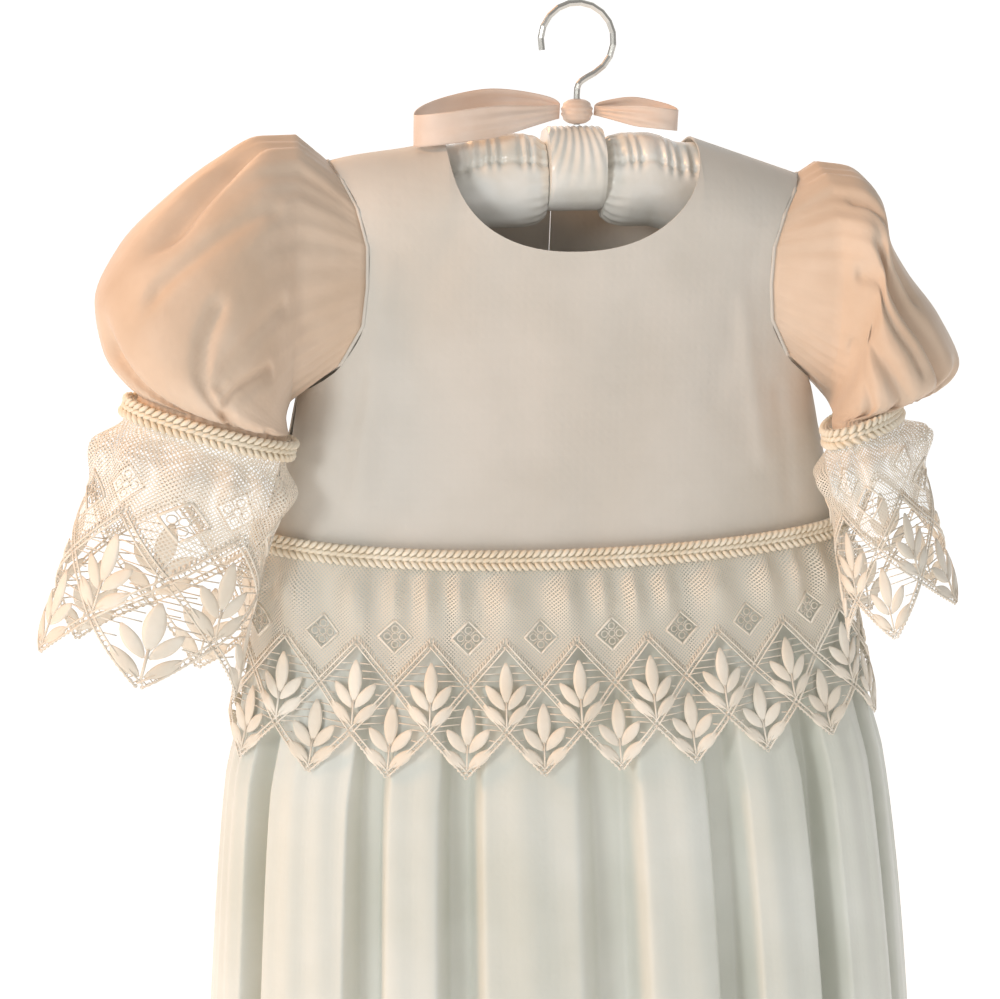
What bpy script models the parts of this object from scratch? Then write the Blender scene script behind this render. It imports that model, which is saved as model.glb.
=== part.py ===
"""A christening gown on a padded satin hanger, at real size.

The frame is +Z up, the front of the gown faces -Y, and the origin is the hanging point inside
the hook. Heights named h are measured from the neck point, where neckline and shoulder meet.
Every piece of cloth is a closed wall: an outer surface worked out from the sizes below, moved
in by the cloth's thickness along its own normals.
"""

import math

import bpy
import numpy as np

# Sizes in metres. Pieces that touch keep the seam gap between them.
SEAM_GAP = 0.0003
HALF_SEAM = SEAM_GAP / 2

# Hook and hanger. The padded arms end a little to each side of the hook's foot.
HOOK_INNER_RADIUS = 0.016
WIRE_RADIUS = 0.0016
HOOK_RISE = 0.056
BAR_RADIUS = 0.0203
BAR_ENDS = (-0.0155, 0.0115)
BAR_TOP_H = 0.0056
ARM_REACH = 0.104
ARM_HALF_HEIGHT = 0.0226
ARM_HALF_DEPTH = 0.0178
ARM_NECK_RISE = 0.0050

# The gown hangs a little to the left of the hook, and its waist a little more: (h, shift).
NECK_POINT_Z = -(HOOK_RISE + BAR_TOP_H)
GOWN_SHIFT_X = -0.0046
LEAN = np.array([
    (0.0, 0.0),
    (-0.188, -0.0055),
    (-0.280, -0.0030),
    (-0.430, 0.0005),
    (-0.830, 0.0040),
])
LEFT_SHOULDER_LIFT = 0.009

# Bodice.
BODICE_WALL = 0.0012
NECK_HALF_WIDTH = 0.0605
FRONT_NECK_DROP = 0.0512
BACK_NECK_DROP = 0.016
NECK_ROUNDNESS = 2.25
SHOULDER_TIP = (0.114, -0.0180)
SHOULDER_SLOPE = -SHOULDER_TIP[1] / (SHOULDER_TIP[0] - NECK_HALF_WIDTH)
SHOULDER_ROUND_HEIGHT = 0.034
UNDERARM = (0.127, -0.120)
CHEST_H = -0.140
WAIST_HALF_WIDTH = 0.1436
WAIST_H = -0.188
WAIST_FRONT_DIP = 0.006
OVAL_POWER = 2.3
CHEST_HALF_DEPTH = 0.037
WAIST_HALF_DEPTH = 0.046

# The armhole from shoulder tip to underarm: height and distance from the centre.
ARMHOLE = np.array([
    # h, x
    (-0.0180, 0.1140),
    (-0.0360, 0.1020),
    (-0.0580, 0.0965),
    (-0.0820, 0.0975),
    (-0.1040, 0.1080),
    (-0.1200, 0.1270),
])

# The front and back panels' columns, from side to centre, as they cross the chest line.
ARMHOLE_CORNERS = (0.0, 0.07, 0.18, 0.33, 0.50, 0.67, 0.84, 1.0)
NECK_CORNERS = (0.0, 0.06, 0.14, 0.28, 0.43, 0.57, 0.71, 0.86, 1.0)
CHEST_COLUMNS = (
    0.1300, 0.1200, 0.1090, 0.0995, 0.0930, 0.0885, 0.0845,
    0.0810, 0.0780, 0.0745, 0.0710,
    0.0670, 0.0625, 0.0560, 0.0460, 0.0365, 0.0275, 0.0185, 0.0092, 0.0,
)
PANEL_ROWS_UP = (0.0, 0.5, 0.78, 0.915, 0.978, 1.0)

# Skirt: distance below the waist, half width and half depth of the oval, depth of the pleats.
SKIRT_WALL = 0.0015
SKIRT_LENGTH = 0.620
SKIRT = np.array([
    # below, half_width, half_depth, pleat_depth
    (0.000, 0.1436, 0.0460, 0.0012),
    (0.040, 0.1495, 0.0530, 0.0040),
    (0.090, 0.1590, 0.0610, 0.0085),
    (0.125, 0.1680, 0.0660, 0.0105),
    (0.240, 0.1800, 0.0790, 0.0135),
    (0.340, 0.1870, 0.0890, 0.0150),
    (0.480, 0.1970, 0.1010, 0.0170),
    (0.620, 0.2080, 0.1120, 0.0190),
])
SKIRT_LEVELS = (0.0, 0.06, 0.14, 0.26, 0.43, 0.62)
PLEAT_EDGE_WIDTH = 3.4
PLEAT_FACE_SWELL = 0.0022

# Box pleats: where each raised face begins and ends, in degrees round from the centre front.
FRONT_PLEATS = (
    (-100, -69), (-62, -38.5), (-32, -20.5), (-15, 0.5),
    (6.5, 19.5), (25.5, 40.5), (47, 66), (73, 100),
)
BACK_PLEATS = (
    (80, 103), (110, 131), (138, 152), (158, 173),
    (179, 193), (200, 216), (223, 241), (248, 280),
)

# Guipure lace, as it lies flat: two rows of diamonds under a close ground.
LACE_WALL = 0.0012
LACE_HEIGHT = 0.101
DIAMOND_STEP = 0.0102
LACE_GROUND = LACE_HEIGHT - 6 * DIAMOND_STEP
HOLE_SHARE = 0.36
PEPLUM_REPEATS = 10
CUFF_REPEATS = (3, 2)
LACE_SPLIT = 0.00025

# Peplum: distance down the lace, how far it stands off the skirt, depth of its ruffle.
PEPLUM = np.array([
    # down, stand_off, ruffle
    (0.000, 0.0009, 0.0000),
    (0.006, 0.0010, 0.0003),
    (0.020, 0.0020, 0.0020),
    (0.040, 0.0018, 0.0024),
    (0.070, 0.0016, 0.0026),
    (0.101, 0.0018, 0.0034),
])
PEPLUM_SIDE_STRETCH = 0.035

# Gimp braid over the lace heading.
BRAID_HEIGHT = 0.009
BRAID_DEPTH = 0.0026
BRAID_ABOVE_WAIST = 0.003
BRAID_UPPER_STAND = 0.0020
BRAID_LOWER_STAND = 0.0030
CUFF_BRAID_STAND = 0.0006

# Sleeves: each row is a ring from armhole to cuff, by its upper and lower points, how far
# its middle lies forward of the shoulder, its half depth, and the angle in degrees by which
# its depth is turned, front end inwards. The sleeve on the left of a front view is seen
# broadside. The other hangs with its flat side outward.
SLEEVE_WALL = 0.0010
SLEEVE_LENGTH = 0.130
ARMHOLE_GAP = 0.0006
SLEEVE_COLUMNS = 36
SLEEVE_OVAL_POWER = 2.15
SLEEVE_LEFT = np.array([
    # upper_x, upper_h, lower_x, lower_h, forward, half_depth, turned
    (0.1300, -0.0060, 0.1312, -0.1250, 0.0000, 0.0420, 0),
    (0.1470, -0.0065, 0.1325, -0.1285, 0.0020, 0.0500, 0),
    (0.1680, -0.0170, 0.1330, -0.1305, 0.0060, 0.0550, 0),
    (0.1910, -0.0330, 0.1330, -0.1320, 0.0110, 0.0570, 0),
    (0.2120, -0.0520, 0.1330, -0.1332, 0.0160, 0.0560, 0),
    (0.2230, -0.0740, 0.1330, -0.1340, 0.0210, 0.0520, 0),
    (0.2190, -0.0950, 0.1330, -0.1346, 0.0260, 0.0430, 0),
    (0.2080, -0.1100, 0.1332, -0.1352, 0.0290, 0.0310, 0),
    (0.2030, -0.1150, 0.1335, -0.1357, 0.0300, 0.0215, 0),
    (0.2042, -0.1188, 0.1347, -0.1395, 0.0302, 0.0215, 0),
])
SLEEVE_RIGHT = np.array([
    # upper_x, upper_h, lower_x, lower_h, forward, half_depth, turned
    (0.1240, -0.0120, 0.1312, -0.1235, 0.0000, 0.0430, 0),
    (0.1380, -0.0140, 0.1325, -0.1251, 0.0020, 0.0500, 0),
    (0.1510, -0.0260, 0.1330, -0.1264, 0.0060, 0.0530, 2),
    (0.1560, -0.0450, 0.1330, -0.1276, 0.0110, 0.0540, 5),
    (0.1670, -0.0640, 0.1325, -0.1287, 0.0170, 0.0530, 9),
    (0.1830, -0.0850, 0.1315, -0.1298, 0.0240, 0.0500, 13),
    (0.1935, -0.1080, 0.1305, -0.1309, 0.0310, 0.0430, 17),
    (0.1830, -0.1200, 0.1292, -0.1321, 0.0360, 0.0350, 20),
    (0.1560, -0.1255, 0.1283, -0.1341, 0.0380, 0.0300, 20),
    (0.1567, -0.1294, 0.1290, -0.1380, 0.0384, 0.0300, 20),
])
SLEEVE_GATHERS = 12
SLEEVE_GATHER_DEPTH = 0.0009
SLEEVE_HEAD_PLEATS = 12
SLEEVE_HEAD_DEPTH = 0.0022

# The largest folds of the sleeves, as troughs between two places on the cloth. Along runs
# from 0 at the armhole to 1 at the cuff. Turn is in degrees: 0 up, 90 front, 180 down.
SLEEVE_FOLDS = {
    "left": (
        # along, turn, along, turn, half_width, depth
        (0.20, 22, 0.34, 32, 0.010, 0.0050),
        (0.62, 28, 0.86, 84, 0.009, 0.0080),
        (0.86, 100, 0.30, 116, 0.007, 0.0045),
        (0.30, 250, 0.75, 300, 0.009, 0.0060),
    ),
    "right": (
        (0.22, 62, 0.66, 44, 0.009, 0.0075),
        (0.30, 100, 0.84, 78, 0.008, 0.0060),
        (0.70, 20, 0.80, 60, 0.007, 0.0050),
        (0.25, 290, 0.75, 250, 0.009, 0.0060),
    ),
}

# Lace cuff: distance down the lace and how far it stands out from the sleeve's end.
CUFF = np.array([
    # down, stand_out
    (0.000, 0.0011),
    (0.009, 0.0014),
    (0.020, 0.0090),
    (0.036, 0.0064),
    (0.070, 0.0078),
    (0.101, 0.0100),
])
CUFF_RUFFLE = 0.0020
CUFF_FLAT_LENGTH = 0.200
CUFF_BELOW_GATHERS = 0.0012
CUFF_HANG = {"left": (0.309, -0.030, -0.951), "right": (0.180, -0.130, -0.970)}
CUFF_STRETCH = {"left": 1.22, "right": 1.0}
CUFF_OUTER_PUFF = {"left": 0.0, "right": 0.6}

# Buttons of the back opening.
BUTTON_RADIUS = 0.0045
BUTTON_DEPTH = 0.0032
BUTTON_HEIGHTS = (-0.030, -0.072, -0.114, -0.156)
BUTTON_X = 0.0085

# Ribbon bow tied round the hook's foot. Each loop: reach along x, band height, front and back
# bulge, height at the knot and at its far end, and how much the back layer is raised. The
# far ends lean forward.
RIBBON_WALL = 0.0010
LOOP_LEAN = 0.010
KNOT_OUTER_RADIUS = 0.0078
KNOT_HALF_HEIGHT = 0.0060
KNOT_H = 0.0122
LOOPS = {
    # name: (reach, band, front, back, knot_h, far_h, back_lift)
    "bow_loop_left": (-0.080, 0.0150, 0.0170, 0.0070, 0.0122, 0.0040, 0.0075),
    "bow_loop_right": (0.047, 0.0100, 0.0150, 0.0060, 0.0125, 0.0082, 0.0035),
}

# Colours as linear values, with roughness and metallic.
FINISHES = {
    "satin_bodice": ((0.80, 0.74, 0.64), 0.55, 0.0),
    "chiffon_sleeve": ((0.84, 0.74, 0.60), 0.60, 0.0),
    "satin_skirt": ((0.80, 0.78, 0.68), 0.45, 0.0),
    "guipure_lace": ((0.82, 0.77, 0.69), 0.75, 0.0),
    "gimp_braid": ((0.83, 0.75, 0.60), 0.60, 0.0),
    "hanger_satin": ((0.82, 0.80, 0.74), 0.30, 0.0),
    "organza_ribbon": ((0.80, 0.66, 0.54), 0.45, 0.0),
    "pearl_button": ((0.86, 0.82, 0.74), 0.25, 0.0),
    "hook_steel": ((0.62, 0.60, 0.57), 0.25, 1.0),
}


def smooth_table(at, stations, values):
    """A smooth curve through a table's points, with no overshoot between them."""
    at = np.clip(np.asarray(at, float), stations[0], stations[-1])
    steps = np.diff(stations)
    slopes = np.diff(values) / steps
    tangents = np.zeros(len(stations))
    same_way = slopes[:-1] * slopes[1:] > 0
    tangents[1:-1][same_way] = 2 / (1 / slopes[:-1][same_way] + 1 / slopes[1:][same_way])
    tangents[0] = slopes[0]
    tangents[-1] = slopes[-1]
    index = np.clip(np.searchsorted(stations, at, side="right") - 1, 0, len(steps) - 1)
    t = (at - stations[index]) / steps[index]
    rise = values[index] * (1 + 2 * t) * (1 - t) ** 2 + values[index + 1] * t * t * (3 - 2 * t)
    lean = tangents[index] * t * (1 - t) ** 2 - tangents[index + 1] * t * t * (1 - t)
    return rise + lean * steps[index]


def smoothstep(t):
    t = np.clip(t, 0, 1)
    return t * t * (3 - 2 * t)


def material(name):
    """A Principled material for one of the finishes."""
    if name in bpy.data.materials:
        return bpy.data.materials[name]
    colour, roughness, metallic = FINISHES[name]
    made = bpy.data.materials.new(name)
    made.use_nodes = True
    shader = made.node_tree.nodes["Principled BSDF"]
    shader.inputs["Base Color"].default_value = (*colour, 1)
    shader.inputs["Roughness"].default_value = roughness
    shader.inputs["Metallic"].default_value = metallic
    return made


def add_object(name, points, faces, finish, shade_smooth=True):
    """Makes one named object, standing where its points say."""
    mesh = bpy.data.meshes.new(name)
    mesh.from_pydata([tuple(p) for p in points], [], [tuple(f) for f in faces])
    mesh.materials.append(material(finish))
    if shade_smooth:
        mesh.shade_smooth()
        mesh.set_sharp_from_angle(angle=math.radians(50))
    made = bpy.data.objects.new(name, mesh)
    bpy.context.scene.collection.objects.link(made)
    return made


def shoulder_lift(points):
    """How much the left shoulder is raised at (x, y, h): nothing at the neck and the chest."""
    outward = smoothstep((-points[:, 0] - NECK_HALF_WIDTH) / 0.06)
    return LEFT_SHOULDER_LIFT * outward * smoothstep((points[:, 2] + 0.11) / 0.11)


def in_world(points, gown=True):
    """Turns (x, y, h) about the neck point into world coordinates. The gown also leans."""
    points = np.array(points, float)
    if gown:
        points[:, 2] += shoulder_lift(points)
        points[:, 0] += GOWN_SHIFT_X + smooth_table(-points[:, 2], -LEAN[:, 0], LEAN[:, 1])
    points[:, 2] += NECK_POINT_Z
    return points


def triangles_from(faces):
    return np.array([(f[0], f[i], f[i + 1]) for f in faces for i in range(1, len(f) - 1)])


def point_normals(points, faces):
    """Unit normals at the points of an open sheet, averaged over the faces that meet there."""
    corners = triangles_from(faces)
    a, b, c = (points[corners[:, k]] for k in range(3))
    across = np.cross(b - a, c - a)
    normals = np.zeros_like(points)
    for k in range(3):
        np.add.at(normals, corners[:, k], across)
    return normals / np.linalg.norm(normals, axis=1)[:, None]


def cloth_wall(
    name, outer, faces, thickness, finish, flat_y=(), flat_h=(), normals=None, gown=True
):
    """A closed wall from an outer sheet whose faces point outwards. Points in flat_y lie on a
    seam between front and back, so their normals have no part along y. Points in flat_h lie
    on the waist seam, where the normals are level."""
    outer = np.asarray(outer, float)
    if normals is None:
        normals = point_normals(outer, faces)
    for index in flat_y:
        normals[index, 1] = 0
    for index in flat_h:
        normals[index, 2] = 0
    normals = normals / np.linalg.norm(normals, axis=1)[:, None]
    inner = outer - normals * thickness
    count = len(outer)
    sides = [(f[i], f[(i + 1) % len(f)]) for f in faces for i in range(len(f))]
    known = set(sides)
    rims = [(b, a) for a, b in sides if (b, a) not in known]
    solid_faces = [tuple(f) for f in faces]
    solid_faces += [tuple(count + i for i in reversed(f)) for f in faces]
    solid_faces += [(a, b, b + count, a + count) for a, b in rims]
    return add_object(name, in_world(np.vstack([outer, inner]), gown), solid_faces, finish)


def outward_normals(surface, share, down, inside):
    """Normals of a surface of (share, down), pointing away from the points called inside."""
    along = surface(share + 1e-3, down) - surface(share - 1e-3, down)
    drop = surface(share, down + 1e-4) - surface(share, down - 1e-4)
    normals = np.cross(along, drop)
    normals /= np.linalg.norm(normals, axis=1)[:, None]
    outward = np.sign(np.einsum("ij,ij->i", normals, surface(share, down) - inside))
    return normals * outward[:, None]


def grid_faces(rows, columns, closed=False, flip=False):
    """Quads of a sheet stored row after row. With closed, its last column joins its first."""
    faces = []
    for r in range(rows - 1):
        for c in range(columns if closed else columns - 1):
            right = (c + 1) % columns
            quad = [r * columns + c, r * columns + right, (r + 1) * columns + right]
            quad.append((r + 1) * columns + c)
            faces.append(quad[::-1] if flip else quad)
    return faces


def shoulder_ridge(x):
    """Height of the shoulder seam, level across the neck."""
    return -SHOULDER_SLOPE * np.maximum(np.abs(x) - NECK_HALF_WIDTH, 0)


def side_x(h):
    """Half width of the bodice at a height. Above the underarm it goes on past the armhole."""
    down = (h - UNDERARM[1]) / (WAIST_H - UNDERARM[1])
    below = UNDERARM[0] + (WAIST_HALF_WIDTH - UNDERARM[0]) * down
    return np.where(h < UNDERARM[1], below, UNDERARM[0] + 0.1 * (h - UNDERARM[1]))


def bodice_depth(x, h):
    """Half depth of the bodice: oval in plan, and rounded over the hanger at the shoulders."""
    lower = smoothstep((h + 0.05) / (WAIST_H + 0.05))
    full = CHEST_HALF_DEPTH + (WAIST_HALF_DEPTH - CHEST_HALF_DEPTH) * lower
    across = np.clip(np.abs(x) / side_x(h), 0, 1)
    oval = (1 - across**OVAL_POWER) ** (1 / OVAL_POWER)
    under_ridge = np.clip((shoulder_ridge(x) - h) / SHOULDER_ROUND_HEIGHT, 0, 1)
    return full * oval * np.sqrt(1 - (1 - under_ridge) ** 2)


def bodice_normals(points, facing):
    """Outward normals of the bodice, from how its depth changes across and down."""
    x, h = points[:, 0], points[:, 2]
    step = 0.0004
    slope_x = (bodice_depth(x + step, h) - bodice_depth(x - step, h)) / (2 * step)
    slope_h = (bodice_depth(x, h + step) - bodice_depth(x, h - step)) / (2 * step)
    normals = np.stack([-slope_x, np.full(len(x), float(facing)), -slope_h], axis=-1)
    return normals / np.linalg.norm(normals, axis=1)[:, None]


def waist_h(x):
    """Height of the waist seam, which dips at the centre."""
    return WAIST_H - WAIST_FRONT_DIP * (1 - np.clip(np.abs(x) / WAIST_HALF_WIDTH, 0, 1) ** 2)


def armhole_at(t):
    """(x, h) on the armhole, t from 0 at the shoulder tip to 1 at the underarm."""
    h = ARMHOLE[0, 0] + (ARMHOLE[-1, 0] - ARMHOLE[0, 0]) * np.asarray(t, float)
    return smooth_table(-h, -ARMHOLE[:, 0], ARMHOLE[:, 1]), h


def panel_edges(neck_drop):
    """Half of a bodice panel, from side to centre: (waist x, chest x, top x, top h, seam)."""
    tops = []
    for corner in ARMHOLE_CORNERS[:0:-1]:
        x, h = armhole_at(corner)
        tops.append((float(x), float(h), False))
    for i in range(4):
        x = SHOULDER_TIP[0] + (NECK_HALF_WIDTH - SHOULDER_TIP[0]) * i / 4
        tops.append((x, float(shoulder_ridge(x)), True))
    for corner in NECK_CORNERS:
        turn = math.pi / 2 * corner
        x = NECK_HALF_WIDTH * max(math.cos(turn), 0) ** (2 / NECK_ROUNDNESS)
        h = -neck_drop * math.sin(turn) ** (2 / NECK_ROUNDNESS)
        tops.append((x if corner < 1 else 0.0, h, corner == 0))
    spread = WAIST_HALF_WIDTH / CHEST_COLUMNS[0]
    return [(chest * spread, chest, *top) for chest, top in zip(CHEST_COLUMNS, tops)]


def bodice_panel(name, edges, facing):
    """A bodice panel from its columns. facing is -1 for the front and +1 for the back. Each
    column runs straight to the chest line, then bends to its place on the upper edge."""
    stations = [(0, k / 3) for k in range(3)] + [(1, up) for up in PANEL_ROWS_UP]
    points = []
    flat_y = []
    for part, up in stations:
        for c, (waist_x, chest_x, top_x, top_h, on_ridge) in enumerate(edges):
            if part == 0:
                bottom_h = float(waist_h(waist_x))
                x = waist_x + (chest_x - waist_x) * up
                h = bottom_h + (CHEST_H - bottom_h) * up
            else:
                bend = 5.0 if abs(top_x) > abs(chest_x) else 1.0
                x = chest_x + (top_x - chest_x) * up**bend
                h = CHEST_H + (top_h - CHEST_H) * up
            depth = float(bodice_depth(x, h))
            side_seam = abs(chest_x) == CHEST_COLUMNS[0]
            ridge_seam = on_ridge and part == 1 and up == 1
            if side_seam or ridge_seam:
                depth = HALF_SEAM
                flat_y.append(len(points))
            points.append((x, facing * max(depth, HALF_SEAM), h))
    faces = grid_faces(len(stations), len(edges), flip=facing > 0)
    normals = bodice_normals(np.array(points), facing)
    waist = range(len(edges))
    return cloth_wall(name, points, faces, BODICE_WALL, "satin_bodice", flat_y, waist, normals)


def mirror_edges(rows):
    """Columns from the left side across to the right side."""
    left = [(-w, -c, -x, h, ridge) for w, c, x, h, ridge in rows]
    return left + rows[::-1][1:]


def make_bodice():
    bodice_panel("bodice_front", mirror_edges(panel_edges(FRONT_NECK_DROP)), facing=-1)
    back = panel_edges(BACK_NECK_DROP)
    right = back[:-1] + [(HALF_SEAM, HALF_SEAM, HALF_SEAM, back[-1][3], False)]
    left = [(-w, -c, -x, h, ridge) for w, c, x, h, ridge in right]
    bodice_panel("bodice_back_right", right[::-1], facing=1)
    bodice_panel("bodice_back_left", left, facing=1)


def oval_point(theta, half_width, half_depth):
    """A point on the body's oval. theta is in radians: 0 at the centre front, 90 degrees right."""
    s, c = np.sin(theta), np.cos(theta)
    x = half_width * np.sign(s) * np.abs(s) ** (2 / OVAL_POWER)
    y = -half_depth * np.sign(c) * np.abs(c) ** (2 / OVAL_POWER)
    return x, y


def oval_normal(theta, half_width, half_depth):
    """Outward unit normal of the oval, in plan."""
    s, c = np.sin(theta), np.cos(theta)
    power = 2 - 2 / OVAL_POWER
    nx = np.sign(s) * np.abs(s) ** power / half_width
    ny = -np.sign(c) * np.abs(c) ** power / half_depth
    size = np.hypot(nx, ny)
    return nx / size, ny / size


def skirt_sizes(below):
    return [smooth_table(below, SKIRT[:, 0], SKIRT[:, k]) for k in (1, 2, 3)]


def skirt_surface(theta, below, stand_off=0.0):
    """A point on the skirt's outer oval, moved out by stand_off, before its pleats."""
    half_width, half_depth, _ = skirt_sizes(below)
    x, y = oval_point(theta, half_width, half_depth)
    nx, ny = oval_normal(theta, half_width, half_depth)
    level = waist_h(x * WAIST_HALF_WIDTH / half_width) - below
    return np.stack([x + nx * stand_off, y + ny * stand_off, level + 0 * x], axis=-1)


def pleat_recess(theta, pleats):
    """0 on a pleat's raised face and 1 in the fold between two, with the faces a little full."""
    degrees = np.degrees(theta)
    raised = np.zeros_like(degrees)
    swell = np.zeros_like(degrees)
    for start, end in pleats:
        rise = smoothstep((degrees - start) / PLEAT_EDGE_WIDTH + 0.5)
        fall = smoothstep((end - degrees) / PLEAT_EDGE_WIDTH + 0.5)
        raised = np.maximum(raised, rise * fall)
        middle = np.clip((degrees - start) / (end - start), 0, 1)
        swell = np.maximum(swell, 4 * middle * (1 - middle))
    return 1 - raised, swell


def skirt_columns(start, end, pleats):
    """Angles of the skirt's columns: close at each pleat's edge, wide on its face."""
    marks = [start, end]
    for edges in pleats:
        for edge in edges:
            marks += [edge - PLEAT_EDGE_WIDTH / 2, edge + PLEAT_EDGE_WIDTH / 2]
        marks.append(sum(edges) / 2)
    inner = sorted(m for m in marks if start < m < end)
    columns = [start]
    for mark in inner + [end]:
        gap = mark - columns[-1]
        if gap > 9:
            columns.append(columns[-1] + gap / 2)
        columns.append(mark)
    return np.radians(columns)


def skirt_panel(name, start, end, pleats):
    """Half of the skirt, from one side seam to the other, with its box pleats."""
    angles = skirt_columns(start, end, pleats)
    recess, swell = pleat_recess(angles, pleats)
    rows = []
    for below in SKIRT_LEVELS:
        _, _, pleat_depth = skirt_sizes(below)
        fullness = PLEAT_FACE_SWELL * smoothstep(below / 0.2)
        inward = recess * pleat_depth + (1 - swell) * fullness
        row = skirt_surface(angles, max(below, SEAM_GAP), -inward)
        row[[0, -1], 1] = math.copysign(HALF_SEAM, row[len(row) // 2, 1])
        rows.append(row)
    columns = len(angles)
    flat_y = [r * columns + c for r in range(len(rows)) for c in (0, columns - 1)]
    faces = grid_faces(len(rows), columns, flip=True)
    cloth_wall(name, np.vstack(rows), faces, SKIRT_WALL, "satin_skirt", flat_y, range(columns))


def make_skirt():
    skirt_panel("skirt_front", -90, 90, FRONT_PLEATS)
    skirt_panel("skirt_back", 90, 270, BACK_PLEATS)


def lace_sheet(repeats, period, heading):
    """Flat lace in metres: points as (along, down) and faces, with a diamond hole in six of
    the eight small diamonds of each repeat."""
    step = period / 4
    points = []
    index = {}
    faces = []

    def corner(i, level):
        """The point at column i, at a named level of the ground or a lattice row."""
        key = (i, level)
        if key not in index:
            if isinstance(level, str):
                down = {"top": 0.0, "heading": heading, "mid": 0.020}[level]
            else:
                down = LACE_GROUND + DIAMOND_STEP * level
            index[key] = len(points)
            points.append([i * step, down])
        return index[key]

    def diamond(i, j, holed):
        ring = [corner(i, j - 1), corner(i - 1, j), corner(i, j + 1), corner(i + 1, j)]
        if not holed:
            faces.append(tuple(ring))
            return
        centre = np.array([i * step, LACE_GROUND + DIAMOND_STEP * j])
        hole = []
        for p in ring:
            hole.append(len(points))
            points.append(list(centre + (np.array(points[p]) - centre) * HOLE_SHARE))
        for k in range(4):
            n = (k + 1) % 4
            faces.append((ring[k], ring[n], hole[n], hole[k]))

    for r in range(repeats):
        first = 4 * r
        for c in range(4):
            left, right = first + c, first + c + 1
            chevron_left = min(left - first, 4 - (left - first))
            chevron_right = min(right - first, 4 - (right - first))
            for upper, lower in (("top", "heading"), ("heading", "mid")):
                faces.append((
                    corner(left, upper), corner(left, lower),
                    corner(right, lower), corner(right, upper),
                ))
            faces.append((
                corner(left, "mid"), corner(left, chevron_left),
                corner(right, chevron_right), corner(right, "mid"),
            ))
        for i, j in ((0, 1), (1, 2), (3, 2), (1, 4), (3, 4), (2, 5)):
            diamond(first + i, j, True)
        diamond(first, 3, False)
        diamond(first + 2, 3, False)
    points = np.array(points)
    return part_ends(points, faces, step, 4 * repeats * step), faces


def on_rim(count, faces):
    """True for the points on an open edge of a sheet."""
    sides = [(f[k], f[(k + 1) % len(f)]) for f in faces for k in range(len(f))]
    known = set(sides)
    rim = np.zeros(count, bool)
    for a, b in sides:
        if (b, a) not in known:
            rim[[a, b]] = True
    return rim


def part_ends(points, faces, step, length):
    """Moves the two ends of a sheet of lace in, so that it stays clear of its neighbour."""
    rim = on_rim(len(points), faces)
    along, down = points[:, 0], points[:, 1]
    in_rows = down > LACE_GROUND + 1e-6
    left = rim & ((np.abs(along) < 1e-9) | (np.abs(along + step) < 1e-9))
    right = rim & ((np.abs(along - length) < 1e-9) | (np.abs(along - length + step) < 1e-9) & in_rows)
    moved = points.copy()
    moved[left, 0] += LACE_SPLIT
    moved[right, 0] -= LACE_SPLIT
    return moved


def arc_shares(half_width, half_depth):
    """The oval's length, and (share of the way round, angle) from the left side seam."""
    theta = np.radians(np.linspace(-90, 270, 721))
    x, y = oval_point(theta, half_width, half_depth)
    lengths = np.concatenate([[0], np.cumsum(np.hypot(np.diff(x), np.diff(y)))])
    return lengths[-1], (lengths / lengths[-1], theta)


PEPLUM_LENGTH, PEPLUM_ARC = arc_shares(*(float(size) for size in skirt_sizes(0.05)[:2]))


def peplum_surface(share, down):
    """A point on the outside of the peplum, share of the way round from the left side seam."""
    shares, angles = PEPLUM_ARC
    theta = np.interp(share % 1, shares, angles) + 2 * math.pi * np.floor(share)
    stand_off, ruffle = (smooth_table(down, PEPLUM[:, 0], PEPLUM[:, k]) for k in (1, 2))
    wave = 0.5 + 0.5 * np.cos(4 * math.pi * PEPLUM_REPEATS * share)
    stretch = 1 - PEPLUM_SIDE_STRETCH * np.sin(theta)
    return skirt_surface(theta, down * stretch + 0.0008, LACE_WALL + stand_off + ruffle * wave)


def make_peplum():
    for half, name in enumerate(("peplum_lace_front", "peplum_lace_back")):
        flat, faces = lace_sheet(PEPLUM_REPEATS, PEPLUM_LENGTH / (2 * PEPLUM_REPEATS), 0.006)
        share, down = flat[:, 0] / PEPLUM_LENGTH + half / 2, flat[:, 1]
        outer = peplum_surface(share, down)
        normals = outward_normals(peplum_surface, share, down, outer * [0.5, 0, 1])
        cloth_wall(name, outer, faces, LACE_WALL, "guipure_lace", normals=normals)


def braid_band(name, upper, lower, outward, closed):
    """A rounded braid lying between two rings of points. outward holds their outward
    normals; the rings run to the right as seen from outside."""
    profile = ((0, 0.0), (0.25, 1.0), (0.75, 1.0), (1, 0.0))
    rows = [upper + (lower - upper) * down + outward * (BRAID_DEPTH * out) for down, out in profile]
    count = len(upper)
    last = (len(profile) - 1) * count
    faces = grid_faces(len(profile), count, closed=closed, flip=True)
    for c in range(count if closed else count - 1):
        n = (c + 1) % count
        faces.append((c, n, last + n, last + c))
    if not closed:
        faces.append(tuple(r * count for r in reversed(range(len(profile)))))
        faces.append(tuple(r * count + count - 1 for r in range(len(profile))))
    return add_object(name, in_world(np.vstack(rows)), faces, "gimp_braid")


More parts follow.
